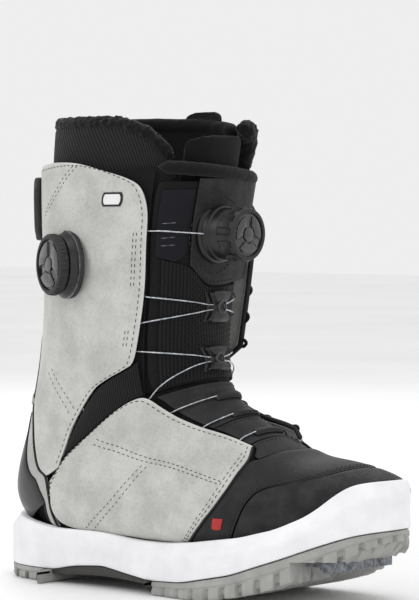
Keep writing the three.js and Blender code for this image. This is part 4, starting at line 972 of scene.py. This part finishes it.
# ---------- hidden soft parts ----------
def make_footbed():
    bed = [[[6.0, 150], [6.0, 210]], [[7, 150], [7, 210]], [[8.5, 150], [8.5, 210]], [[10.2, 150], [10.2, 210]]]
    laid_panel("footbed_foam", bed, LINER_IN - 5, LINER_IN - 2, "foam", replaces=["footbed"], fine=4, rounding=1.0)


# ---------- laces ----------
CABLE_R = 0.55
LACE_STEP = 1.6


def lace_pieces():
    """The laces' routes: the front one whole, and the side one down to the flap, over the tongue, and on."""
    under_a = 55.8
    over = [[52.4, -1.1], [49.5, -0.2], [46.5, MESH_OUT + GAP + 0.7], [34, MESH_OUT + 1.3], [22, LANE_AT - 0.2]]

    at = on_last

    def under(points, side):
        return [at(v, side * a, LACE_AT) for v, a in points]

    def crossing(v0, lane_v, v1, side):
        def half(v, sign):
            return [at(v + (lane_v - v) * (under_a - a) / (under_a - 9), sign * a, off) for a, off in over]
        return (half(v0, side) + [at(lane_v, side * 9, LANE_AT), at(lane_v, 0, LANE_AT), at(lane_v, -side * 9, LANE_AT)]
                + half(v1, -side)[::-1])

    place = DIAL_PLACE["front"]

    def port(side, r, z=3.5):
        return np.array(place @ Vector((side * r * MM, 0, z * MM)))

    outward = -1 if port(-1, 10)[1] < port(1, 10)[1] else 1

    def leave(side, sign):
        return [port(sign, 10), port(sign, 14), port(sign, 19), at(1.12, side * 38, 5), at(1.1, side * 46.5, 1.4),
                at(1.1, side * 49.6, 0), at(1.1, side * 52.6, -1.3)]

    upper, lower = GUIDES[0][3], GUIDES[1][3]
    front = (leave(1, outward)
             + under([[1.1, under_a], [1.14, 58.5], [1.3, 61], [1.7, 61.5], [2.0, 60.5], [2.12, 58.5],
                      [2.14, under_a]], 1)
             + crossing(2.15, upper[0], 2.1, 1)
             + under([[2.08, under_a], [2.1, 58.5], [2.2, 60.5], [2.4, 61], [2.56, 60.5], [2.63, 58.7],
                      [2.63, 57.2]], -1)
             + crossing(2.62, upper[1], 2.62, -1)
             + under([[2.63, 57.2], [2.66, 59.2], [2.78, 61], [2.95, 61.5], [3.1, 61], [3.17, 60], [3.18, 58.8]], 1)
             + crossing(3.2, lower[0], 3.2, 1)
             + under([[3.18, 58.8], [3.16, 61], [3.05, 64], [2.7, 66], [2.3, 66], [1.8, 66], [1.4, 65], [1.18, 62],
                      [1.1, 58.5], [1.08, under_a]], -1)
             + leave(-1, -outward)[::-1])

    def climb(v, flap, strap, side):
        points = [[flap + 2.5, LACE_AT], [flap + 0.4, LACE_AT], [flap - 0.8, LACE_AT + 0.35],
                  [(flap + strap) / 2 - 0.4, -1.15], [strap - 0.6, CROSS_AT - 0.2], [strap - 3, CROSS_AT + 0.1],
                  [(strap + TUNNEL_A) / 2, CROSS_AT + 0.1], [TUNNEL_A + 1, CROSS_AT + 0.25], [8, CROSS_AT + 0.3]]
        return [at(v, side * a, off) for a, off in points]

    def bridge(v, flap, strap, side):
        return climb(v, flap, strap, side) + [at(v, 0, CROSS_AT + 0.3)] + climb(v, flap, strap, -side)[::-1]

    def wing(side):
        points = [[4.72, 64, LACE_AT], [4.66, 60, LACE_AT], [4.61, 56.5, LACE_AT], [4.56, 53.4, LACE_AT],
                  [4.5, 51, -1.5], [4.4, 48.8, -0.6], [4.3, 46.5, 0.2], [4.12, 40, 1.0], [3.94, 30, 1.5],
                  [3.83, 22, LANE_AT - 0.3], [lower[1], 12, LANE_AT]]
        return [at(v, side * a, off) for v, a, off in points]

    first = [at(1.73, 107 - 2.2, LACE_AT)] + under([[2.0, 104], [2.6, 101], [3.2, 97.5], [3.7, 94], [4.05, 90],
                                                    [4.3, 86], [4.48, 81], [4.6, 76], [4.68, 70]], 1)
    bow = wing(1) + [at(lower[1], 0, LANE_AT)] + wing(-1)[::-1][:-1]
    rest = (under([[4.74, 62], [4.84, 62.5], [4.96, 60], [5.06, 56], [5.11, 51]], -1)
            + bridge(5.12, 42.7, 39.3, -1)
            + under([[5.16, 49], [5.3, 52], [5.55, 52], [5.85, 50], [6.05, 46], [6.14, 42]], 1)
            + bridge(6.16, 35.9, 32.5, 1)
            + under([[6.22, 42], [6.4, 44.5], [6.7, 45], [7.0, 43], [7.25, 38], [7.32, 35]], -1)
            + bridge(7.34, 29.8, 26.8, -1)
            + under([[7.3, 36], [7.1, 42], [6.7, 50], [6.3, 58], [5.9, 66], [5.6, 74], [5.35, 82], [5.16, 89],
                     [4.95, 95], [4.65, 99.5], [4.2, 103], [3.7, 106], [3.2, 108], [2.6, 109.5], [2.1, 110]], 1)
            + [at(1.73, 107 + 2.2, LACE_AT)])
    return front, first, bow, rest


def make_laces():
    front, first, bow, rest = lace_pieces()
    whole = smooth_line(front, LACE_STEP)
    piece = tube_along("front_steel_lace", whole, CABLE_R, "cable", body=None, sides=8, replaces=["front_lace"],
                       ends=False)
    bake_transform(piece)
    line = smooth_line(first + bow + rest, LACE_STEP)
    near = [int(np.argmin(np.linalg.norm(line - p, axis=1))) for p in (bow[0], bow[-1])]
    tube_along("side_steel_lace_down", line[:near[0] + 1], CABLE_R, "cable", sides=8, replaces=["side_lace"],
               ends=False)
    arc = tube_along("side_steel_lace_bow", line[near[0]:near[1] + 1], CABLE_R, "cable", body=None, sides=8,
                     replaces=["side_lace"], ends=False)
    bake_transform(arc)
    tube_along("side_steel_lace_instep", line[near[1]:], CABLE_R, "cable", sides=8, replaces=["side_lace"],
               ends=False)


# ---------- sole ----------
OUTLINE = np.array([[-156, 0], [-150, -22], [-133, -37], [-104, -43], [-65, -44], [-22, -48], [22, -54], [58, -56],
                    [88, -52], [112, -39], [131, -19], [138, 6], [132, 30], [112, 45], [82, 50], [45, 50], [5, 44],
                    [-40, 38], [-85, 39], [-120, 39], [-145, 26]], float)
MIDSOLE_TOP = [[-160, 43], [-154, 41.5], [-117, 37], [-100, 34.8], [-58, 35.2], [-27, 32], [0, 32], [27, 34.5],
               [71, 40.5], [95, 46.5], [112, 55], [122, 64.5], [128, 71.5], [134, 75], [142, 75]]
MIDSOLE_LOW = [[-160, 15], [-150, 10.5], [-140, 8.5], [-97, 8.5], [-80, 12], [-54, 14], [-32, 11], [-11, 8.5],
               [19, 10], [60, 18], [94, 29.5], [118, 39.5], [131, 44.5], [142, 46]]
GROUND = [[-160, 10], [-150, 5], [-141, 0], [35, 0], [66, 5], [87, 10.5], [110, 20], [128, 31], [142, 42]]
SOLE_CENTRE = np.array([-9.0, 0.0])


def height_of(points, x, soft=5.0):
    """Height of a side line at x, its corners eased over a few mm."""
    points = np.array(points, float)
    return sum(np.interp(x + d, points[:, 0], points[:, 1]) for d in np.linspace(-soft, soft, 7)) / 7


def towards(centre, ring):
    """Unit steps from each point of a ring towards a point inside it."""
    return (centre - ring) / np.linalg.norm(centre - ring, axis=1, keepdims=True)


def outline_ring(inset, count):
    closed = np.vstack([OUTLINE[-1:], OUTLINE, OUTLINE[:2]])
    t = np.linspace(0, len(OUTLINE), count, endpoint=False)
    ring = spline(closed, t + 1)
    return ring + towards(SOLE_CENTRE, ring) * inset


def clipped_ring(inset, x0, x1, step=1.1):
    """The sole's outline between two x values, closed straight across, as an even ring of points."""
    ring = outline_ring(inset, 900)
    ring[:, 0] = np.clip(ring[:, 0], x0, x1)
    ring = np.vstack([ring, ring[:1]])
    run = run_along(ring)
    at = np.linspace(0, run[-1], int(run[-1] / step), endpoint=False)
    return np.stack([np.interp(at, run, ring[:, k]) for k in (0, 1)], 1), at, run[-1]


def lofted(name, rings):
    """Closes a stack of rings, from its lowest face's middle to its top face's middle."""
    points = np.concatenate(rings + [rings[0].mean(0)[None], rings[-1].mean(0)[None]]) * MM
    return new_mesh(name, points, stacked_faces(len(rings), len(rings[0])))


def last_form(off, v0=3.6, around=96, along=110):
    """The closed last, grown by off, to hollow the midsole's cup."""
    vs = np.linspace(v0, 12.0, along)
    a = np.linspace(0, 360, around, endpoint=False)
    rings = [on_last(np.full(around, v), a, off) / MM for v in vs]
    return lofted("last_form", rings)


def room_beside_upper(ring, top):
    """How far in each point of the sole's outline may lean at the cup's top, to leave a lip beside the upper."""
    v, a = np.meshgrid(np.linspace(4, 12, 160), np.linspace(0, 360, 240))
    skin = on_last(v, a, OUTER + 0.4).reshape(-1, 3) / MM
    room = []
    for point, height in zip(ring, top):
        level = skin[np.abs(skin[:, 2] - height) < 2.5]
        room.append(np.linalg.norm(level[:, :2] - point, axis=1).min() if len(level) else 0.0)
    room = np.clip(np.array(room) - 3.0, 0, 9)
    wide = np.concatenate([room[-12:], room, room[:12]])
    return np.convolve(wide, np.ones(25) / 25, mode="valid")


def make_midsole():
    ring = outline_ring(0, 300)
    centre = ring.mean(0)
    low, top = height_of(MIDSOLE_LOW, ring[:, 0]), height_of(MIDSOLE_TOP, ring[:, 0])
    lean = room_beside_upper(ring, top)
    rings = []
    for far in (0.55, 0.25, 0.06):
        p = ring + (centre - ring) * far
        rings.append(np.column_stack([p, height_of(MIDSOLE_LOW, p[:, 0])]))
    inward = towards(centre, ring)
    for inset, lift in ((1.4, 0.0), (0.5, 0.35), (0.1, 1.1), (0.0, 2.2)):
        p = ring + inward * inset
        rings.append(np.column_stack([p, low + lift]))
    for share in (0.33, 0.66):
        p = ring + inward * (0.4 * math.sin(math.pi * share))
        rings.append(np.column_stack([p, low + 2.2 + (top - low - 11.2) * share]))
    for share in (0.0, 0.5, 1.0):
        p = ring + inward * (lean * share**1.5 * 0.8)[:, None]
        rings.append(np.column_stack([p, top - 9.0 + 6.0 * share]))
    for inset, drop in ((0.1, 1.6), (0.5, 0.7), (1.2, 0.15), (2.2, 0.0)):
        p = ring + inward * (lean + inset)[:, None]
        rings.append(np.column_stack([p, top - drop]))
    for far in (0.25, 0.5):
        p = ring + (centre - ring) * far
        rings.append(np.column_stack([p, height_of(MIDSOLE_TOP, p[:, 0])]))
    cup = lofted("midsole_foam", rings)
    facing_out(cup)
    form = last_form(OUTER + 0.35)
    facing_out(form)
    with_modifier(cup, "BOOLEAN", object=form, operation="DIFFERENCE", solver="EXACT")
    apply_modifiers(cup)
    bpy.data.objects.remove(form)
    finish_piece(cup, "midsole_foam", "midsole", "shell", ["midsole"], smooth=35)


def tread(name, x0, x1, node, notch, deep, slot=None):
    """A block of tread rubber: its wall is stepped into lugs and its face is cut by grooves."""
    ring, at, length = clipped_ring(0.8, x0, x1)
    centre = np.array([(ring[:, 0].min() + ring[:, 0].max()) / 2, ring[:, 1].mean()])
    inward = towards(centre, ring)
    turns = round(length / notch)
    wave = np.abs(((at / length * turns) % 1) - 0.5) * 2
    groove = np.clip((0.34 - wave) / 0.08, 0, 1)
    half = np.clip((0.30 - np.abs(((at / length * turns * 2 + 0.5) % 1) - 0.5) * 2) / 0.1, 0, 1) * 0.5
    straight = (np.abs(ring[:, 0] - x0) < 0.5) | (np.abs(ring[:, 0] - x1) < 0.5)
    groove[straight] = 0
    half[straight] = 0
    top, ground = height_of(MIDSOLE_LOW, ring[:, 0]) - 0.5, height_of(GROUND, ring[:, 0], 2.0)
    rings = []

    def grooved(p):
        chevron = np.clip((1.4 - np.abs((p[:, 0] + 0.5 * np.abs(p[:, 1])) % 14.0 - 7)) / 0.5, 0, 1)
        return height_of(GROUND, p[:, 0], 2.0) + deep * 0.9 * chevron

    for far in (0.8, 0.65, 0.5, 0.4, 0.3, 0.2, 0.12):
        p = ring + (centre - ring) * far
        z = grooved(p)
        if slot:
            z = np.where((p[:, 0] > slot[0]) & (p[:, 0] < slot[1]), 26.0, z)
        rings.append(np.column_stack([p, np.minimum(z, height_of(MIDSOLE_LOW, p[:, 0]) - 1.5)]))
    tall = np.maximum(top - ground, 2.0)
    for inset, share, cutback in ((4.0, 0.0, 1.0), (1.2, 0.0, 1.0), (0.35, 0.05, 1.0), (0.0, 0.18, 1.0),
                                  (0.15, 0.42, 1.0), (0.5, 0.52, 0.5), (0.7, 0.6, 0.1), (0.0, 0.68, 0.0),
                                  (0.0, 0.86, 0.0), (0.5, 0.99, 0.0)):
        cut = groove * cutback * 2.6 + half * cutback * 0.9
        p = ring + inward * (inset + cut)[:, None]
        z = ground + tall * share + groove * deep * (1 - share) * (cutback > 0.6)
        rings.append(np.column_stack([p, np.minimum(z, ground + tall)]))
    for far in (0.1, 0.4, 0.8):
        p = ring + (centre - ring) * far
        rings.append(np.column_stack([p, height_of(MIDSOLE_LOW, p[:, 0]) - 0.5]))
    piece = lofted(name, rings)
    facing_out(piece)
    if slot:
        deselect()
        bpy.ops.mesh.primitive_cube_add(size=1, location=((slot[0] + slot[1]) / 2 * MM, 0, 11 * MM))
        cutter = bpy.context.object
        cutter.scale = ((slot[1] - slot[0]) * MM, 140 * MM, 34 * MM)
        with_modifier(piece, "BOOLEAN", object=cutter, operation="DIFFERENCE", solver="EXACT")
        apply_modifiers(piece)
        bpy.data.objects.remove(cutter)
    finish_piece(piece, name, "outsole", "shell", [node], smooth=28)


def make_shank():
    ring = clipped_ring(2.5, -97.6, -8.4)[0]
    centre = ring.mean(0)
    rings = []
    for far in (0.7, 0.4, 0.15):
        p = ring + (centre - ring) * far
        rib = 0.9 * np.clip(np.cos(2 * np.pi * p[:, 1] / 12) * 3, -1, 1)
        rings.append(np.column_stack([p, height_of(GROUND, p[:, 0]) + 5.6 + rib
                                      + 1.8 * np.sin(np.clip((p[:, 0] + 97) / 89, 0, 1) * np.pi)]))
    inward = towards(centre, ring)
    bow = 1.8 * np.sin(np.clip((ring[:, 0] + 97) / 89, 0, 1) * np.pi)
    for inset, lift in ((1.6, 5.0), (0.5, 5.3), (0.0, 6.2)):
        rings.append(np.column_stack([ring + inward * inset, lift + bow]))
    top = height_of(MIDSOLE_LOW, ring[:, 0]) - 0.5
    rings.append(np.column_stack([ring, np.maximum(top - 0.6, 7.0 + bow)]))
    rings.append(np.column_stack([ring + inward * 0.6, np.maximum(top, 7.3 + bow)]))
    for far in (0.2, 0.6):
        p = ring + (centre - ring) * far
        rings.append(np.column_stack([p, np.maximum(height_of(MIDSOLE_LOW, p[:, 0]) - 0.5, 8)]))
    piece = lofted("arch_shank_moulding", rings)
    facing_out(piece)
    finish_piece(piece, "arch_shank_moulding", "shank", "shell", ["arch_shank"], smooth=35)


# ---------- dials ----------
def dial_place(v, a, skin, lean):
    """Where a dial sits: on the skin there, with its axis along lean."""
    z = Vector(lean).normalized()
    x = -Vector((0, 0, 1)).cross(z).normalized()
    y = z.cross(x)
    turn = Matrix((x, y, z)).transposed().to_4x4()
    return Matrix.Translation(Vector(on_last(v, a, skin + GAP))) @ turn


DIAL_PLACE = {
    "front": dial_place(1.15, 3, ON_TONGUE + 1.6, (1, 0, -0.03)),
    "side": dial_place(1.6, 107, OUTER, (-0.375, -0.927, 0)),
}
PETALS = 3


def turned(name, place, profile, mat, body, replaces=(), segments=96, ridge=None):
    """A part turned on the dial's axis from its half section [radius, height]; ridge(turn, radius, height) cuts
    flutes in it."""
    profile = np.array(profile, float)
    turn = 2 * np.pi * np.arange(segments) / segments
    points, rows = [], len(profile)
    for r, z in profile:
        rr = np.full(segments, r)
        if ridge is not None:
            rr = rr + ridge(turn, r, z)
        points.append(np.column_stack([rr * np.cos(turn), rr * np.sin(turn), np.full(segments, z)]))
    points = np.concatenate(points) * MM
    faces = []
    for k in range(rows):
        m = (k + 1) % rows
        for j in range(segments):
            n = (j + 1) % segments
            faces.append([k * segments + j, k * segments + n, m * segments + n, m * segments + j])
    piece = new_mesh(name, points, faces)
    piece.data.transform(place)
    facing_out(piece)
    return finish_piece(piece, name, mat, body, replaces, smooth=35)


def slab(name, place, outline, low, high, mat, body, round_edge, replaces=()):
    """A flat plate cut to an outline, with its edges rounded."""
    outline = np.array(outline, float)
    mesh = bpy.data.meshes.new(name)
    mesh.from_pydata([(x * MM, y * MM, low * MM) for x, y in outline], [], [list(range(len(outline)))])
    piece = bpy.data.objects.new(name, mesh)
    bpy.context.scene.collection.objects.link(piece)
    only(piece)
    bpy.ops.object.mode_set(mode="EDIT")
    bpy.ops.mesh.select_all(action="SELECT")
    bpy.ops.mesh.extrude_region_move(TRANSFORM_OT_translate={"value": (0, 0, (high - low) * MM)})
    bpy.ops.object.mode_set(mode="OBJECT")
    with_modifier(piece, "BEVEL", width=round_edge * MM, segments=3, limit_method="ANGLE",
                  angle_limit=math.radians(50))
    apply_modifiers(piece)
    piece.data.transform(place)
    facing_out(piece)
    return finish_piece(piece, name, mat, body, replaces, smooth=35)


def sector(inner, outer, middle, half_in, half_out, count=16):
    """A wedge of a ring, in degrees about its middle."""
    a = np.radians(np.linspace(middle - half_out, middle + half_out, count))
    b = np.radians(np.linspace(middle + half_in, middle - half_in, count // 2))
    return ([[outer * math.cos(t), outer * math.sin(t)] for t in a]
            + [[inner * math.cos(t), inner * math.sin(t)] for t in b])


def circle(radius, count):
    return [[radius * math.cos(t), radius * math.sin(t)] for t in np.linspace(0, 2 * math.pi, count, endpoint=False)]


def make_dials():
    place = DIAL_PLACE["front"]
    grip = lambda turn, r, z: 0.75 * np.clip(np.sin(turn * 12) * 3, -1, 1) * (12.0 < z < 22.6) * (r > 14)
    turned("front_dial_housing", place, [[9.2, -1.9], [19.0, -1.9], [19.3, -0.6], [18.6, 0.6], [17.2, 1.2], [16.9, 2.6],
                                         [17.4, 3.2], [17.3, 4.6], [16.2, 5.4], [15.9, 9.6], [15.2, 11.0], [14.4, 11.4],
                                         [9.2, 11.4]], "nylon", "tongue", ["front_dial_base"])
    turned("front_dial_grip", place, [[13.9, 11.95], [16.0, 11.95], [16.6, 12.8], [16.3, 14.2], [15.9, 15.2],
                                      [16.0, 20.4], [16.4, 21.4], [16.5, 22.8], [16.0, 24.1], [15.0, 24.5],
                                      [13.6, 24.3], [13.2, 23.1], [13.2, 21.3], [13.9, 21.2]],
           "grip", "front_knob", ["front_dial_knob"], segments=192, ridge=grip)
    dial_cover(place, "front", 24.5, 13.2, 90)
    place = DIAL_PLACE["side"]
    turned("side_dial_housing", place, [[9.0, -2.0], [21.4, -2.6], [21.6, -0.6], [20.9, 0.9], [19.9, 1.4], [19.4, 2.6],
                                        [18.8, 5.6], [18.0, 6.1], [9.0, 6.1]], "nylon", "shell", ["side_dial_base"])
    turned("side_dial_silver_edge", place, [[20.95, 0.55], [21.55, 0.35], [21.6, 0.75], [21.0, 0.95]], "steel", "shell")
    knurl = lambda turn, r, z: 0.34 * np.sign(np.sin(turn * 44)) * (7.4 < z < 11.6) * (r > 18)
    turned("side_dial_grip", place, [[16.4, 6.65], [18.7, 6.65], [19.1, 7.3], [19.15, 7.9], [19.0, 11.2], [18.5, 12.2],
                                     [17.4, 12.75], [16.0, 12.6], [15.8, 11.6], [15.8, 9.6], [16.4, 9.6]], "grip",
           "side_knob", ["side_dial_knob"], segments=176, ridge=knurl)
    dial_cover(place, "side", 12.6, 15.8, 80)
    tab = [[-4.5, 19.0], [4.5, 19.0], [1.2, 26.0], [-1.2, 26.0]]
    turn = math.radians(-125)
    tab = [[x * math.cos(turn) - y * math.sin(turn), x * math.sin(turn) + y * math.cos(turn)] for x, y in tab]
    slab("side_dial_pointer", place, tab, -1.6, 0.9, "nylon", "shell", 0.4)


def dial_cover(place, name, top, radius, first):
    """The dial's cover: a dark dish with three polished petals round a centre cap, each petal in a bright line."""
    body = f"{name}_knob"
    dish = top - 1.15
    slab(f"{name}_dial_dish", place, circle(radius, 72), dish - 0.7, dish, "gloss_black", body, 0.2,
         [f"{name}_dial_cover"])
    for i in range(PETALS):
        middle = first + 360 / PETALS * i
        slab(f"{name}_dial_petal_{i + 1}", place, sector(5.6, radius - 1.5, middle, 34, 45), dish - 0.1, dish + 1.0,
             "gloss", body, 0.45)
        line = sector(5.2, radius - 1.0, middle, 40, 48, 24)
        path = np.array([np.array(place @ Vector((x * MM, y * MM, (dish + 0.1) * MM))) for x, y in line + line[:1]])
        tube_along(f"{name}_dial_petal_line_{i + 1}", smooth_line(path, 0.9), 0.24, "steel", body=body, sides=6)
    slab(f"{name}_dial_cap", place, circle(4.4, 48), dish - 0.1, dish + 1.15, "gloss", body, 0.5)


# ---------- marks and trims ----------
def make_trims():
    badge = [[[0.45, 80.5], [0.45, 69.8]], [[0.52, 81.5], [0.52, 68.8]], [[0.62, 81.5], [0.62, 68.8]],
             [[0.69, 80.5], [0.69, 69.8]]]
    laid_panel("cuff_badge_edge", badge, OUTER + 0.05, OUTER + 0.55, "nylon", fine=0.8, droop=0.1, rounding=0.2)
    inner = [[[v + (0.57 - v) * 0.28, a + (75 - a) * 0.2] for v, a in line] for line in badge]
    laid_panel("cuff_badge", inner, OUTER + 0.55, OUTER + 0.95, "white_mark", fine=0.7, droop=0.1, rounding=0.15)
    red = [[[8.2, 106], [8.17, 93]], [[8.3, 107], [8.29, 92]], [[8.4, 105], [8.4, 91]]]
    laid_panel("vamp_tab", red, OUTER + 0.05, OUTER + 0.5, "red", fine=0.7, droop=0.15, rounding=0.15)
    edge = spline(np.array([[v, -a] for v, a in CUFF_FRONT[1:10]], float), np.linspace(0, 8, 110))
    lift = lift_of_cuff(edge[:, 0], 0, 0, 0.0, 0)
    around = edge[:, 1] + 0.8 + FLAP_LAP * open_part(edge[:, 0])
    tube_along("inner_flap_binding", on_last(edge[:, 0], around, OUTER - 0.7 + lift), 1.7, "black", sides=12)
    for k, v in enumerate((2.12, 2.62, 3.2)):
        rise = np.linspace(-0.12, 0.12, 17)
        path = on_last(v + rise, -46.4 + 0 * rise, 9.4 + 2.6 * np.cos(rise / 0.12 * np.pi / 2))
        tube_along(f"inner_lace_loop_{k + 1}", path, 1.6, "cloth", sides=12, flatten=0.7)
    edge = spline(np.array([[v, -a] for v, a in QUARTER_TOP[8:]], float), np.linspace(0, 7, 100))
    lift = lift_of_quarter(edge[:, 0], 0, 0, 0.0, 0)
    tube_along("inner_instep_binding", on_last(edge[:, 0], edge[:, 1] + 0.8, OUTER - 0.6 + lift), 1.6, "black",
               sides=12)
    for k, v in enumerate((5.12, 6.16, 7.34)):
        rise = np.linspace(-0.2, 0.2, 17)
        side = np.interp(v + rise, [4.6, 5.0, 5.5, 6.05, 6.7, 7.3, 7.85], [49.3, 44, 40, 36.5, 33, 30, 27.8])
        path = on_last(v + rise, 0.6 - side, 5.2 + 2.6 * np.cos(rise / 0.2 * np.pi / 2))
        tube_along(f"instep_lace_loop_{k + 1}", path, 1.5, "cloth", sides=12, flatten=0.7)


def dress_cad():
    """Finishes for the CAD pieces that stay: steel, moulded nylon, board and cloth."""
    for node, mat in {
        "cleat_plate": "steel", "cleat_screw_1": "steel", "cleat_screw_2": "steel", "lasting_board": "board",
        "shell_lining": "lining", "front_dial_spool": "acetal", "side_dial_spool": "acetal",
        "front_dial_ratchet": "acetal", "side_dial_ratchet": "acetal", "front_dial_winding": "cable",
        "side_dial_winding": "cable", "front_dial_axle": "steel", "side_dial_axle": "steel",
    }.items():
        piece = bpy.data.objects[node]
        for slot in piece.material_slots:
            slot.material = MAT[mat]


# ---------- studio ----------
def make_studio():
    aim = Vector((-0.002, 0.0, 0.1805))
    turn, tilt, far = math.radians(40), math.radians(2), 1.9
    away = Vector((math.sin(turn) * math.cos(tilt), -math.cos(turn) * math.cos(tilt), math.sin(tilt)))
    camera = bpy.data.objects.new("camera", bpy.data.cameras.new("camera"))
    camera.location = aim + away * far
    camera.rotation_euler = (-away).to_track_quat("-Z", "Y").to_euler()
    camera.data.lens = 182.4
    camera.data.sensor_width = 36
    camera.data.clip_end = 20
    bpy.context.scene.collection.objects.link(camera)
    bpy.context.scene.camera = camera
    deselect()
    bpy.ops.mesh.primitive_plane_add(size=12, location=(0, 0, -0.0004))
    floor = bpy.context.object
    floor.name = floor.data.name = "studio_floor"
    mat, shader = material("pale_studio_floor", "#f7f7f7", 0.6)
    to_base(mat, shader, ramp(mat, noise_of(mat, 400, 2.0), [(0.3, "#f4f4f4"), (0.7, "#fafafa")]))
    floor.data.materials.append(mat)

    def lamp(name, place, size, power):
        light = bpy.data.lights.new(name, "AREA")
        light.size = size
        light.energy = power
        made = bpy.data.objects.new(name, light)
        made.location = place
        made.rotation_euler = (Vector((0, 0, 0.15)) - Vector(place)).to_track_quat("-Z", "Y").to_euler()
        bpy.context.scene.collection.objects.link(made)

    lamp("key", (-0.5, -1.9, 1.6), 1.0, 8)
    lamp("front_fill", (1.9, -0.4, 0.9), 0.9, 3)
    lamp("top", (0.2, 0.2, 2.2), 1.0, 7)
    lamp("rim", (-1.3, 1.1, 1.1), 0.8, 5)
    world = bpy.data.worlds.new("studio") if not bpy.context.scene.world else bpy.context.scene.world
    bpy.context.scene.world = world
    world.use_nodes = True
    background = world.node_tree.nodes.get("Background") or world.node_tree.nodes.new("ShaderNodeBackground")
    background.inputs[0].default_value = (1, 1, 1, 1)
    background.inputs[1].default_value = 0.86
    bpy.context.scene.view_settings.view_transform = "Standard"


make_studio()
make_cuff()
make_quarter()
make_ankle_gussets()
make_heel()
make_spine()
make_vamp()
make_straps()
make_tongue()
make_tongue_gussets()
make_lace_guides()
make_liner()
make_liner_tongue()
make_footbed()
make_laces()
make_midsole()
tread("heel_tread", -160, -98, "outsole_heel", 13, 2.5)
tread("forefoot_tread", -8, 142, "outsole_forefoot", 13, 2.6, slot=(99, 121))
make_shank()
make_dials()
make_trims()
dress_cad()

deselect()
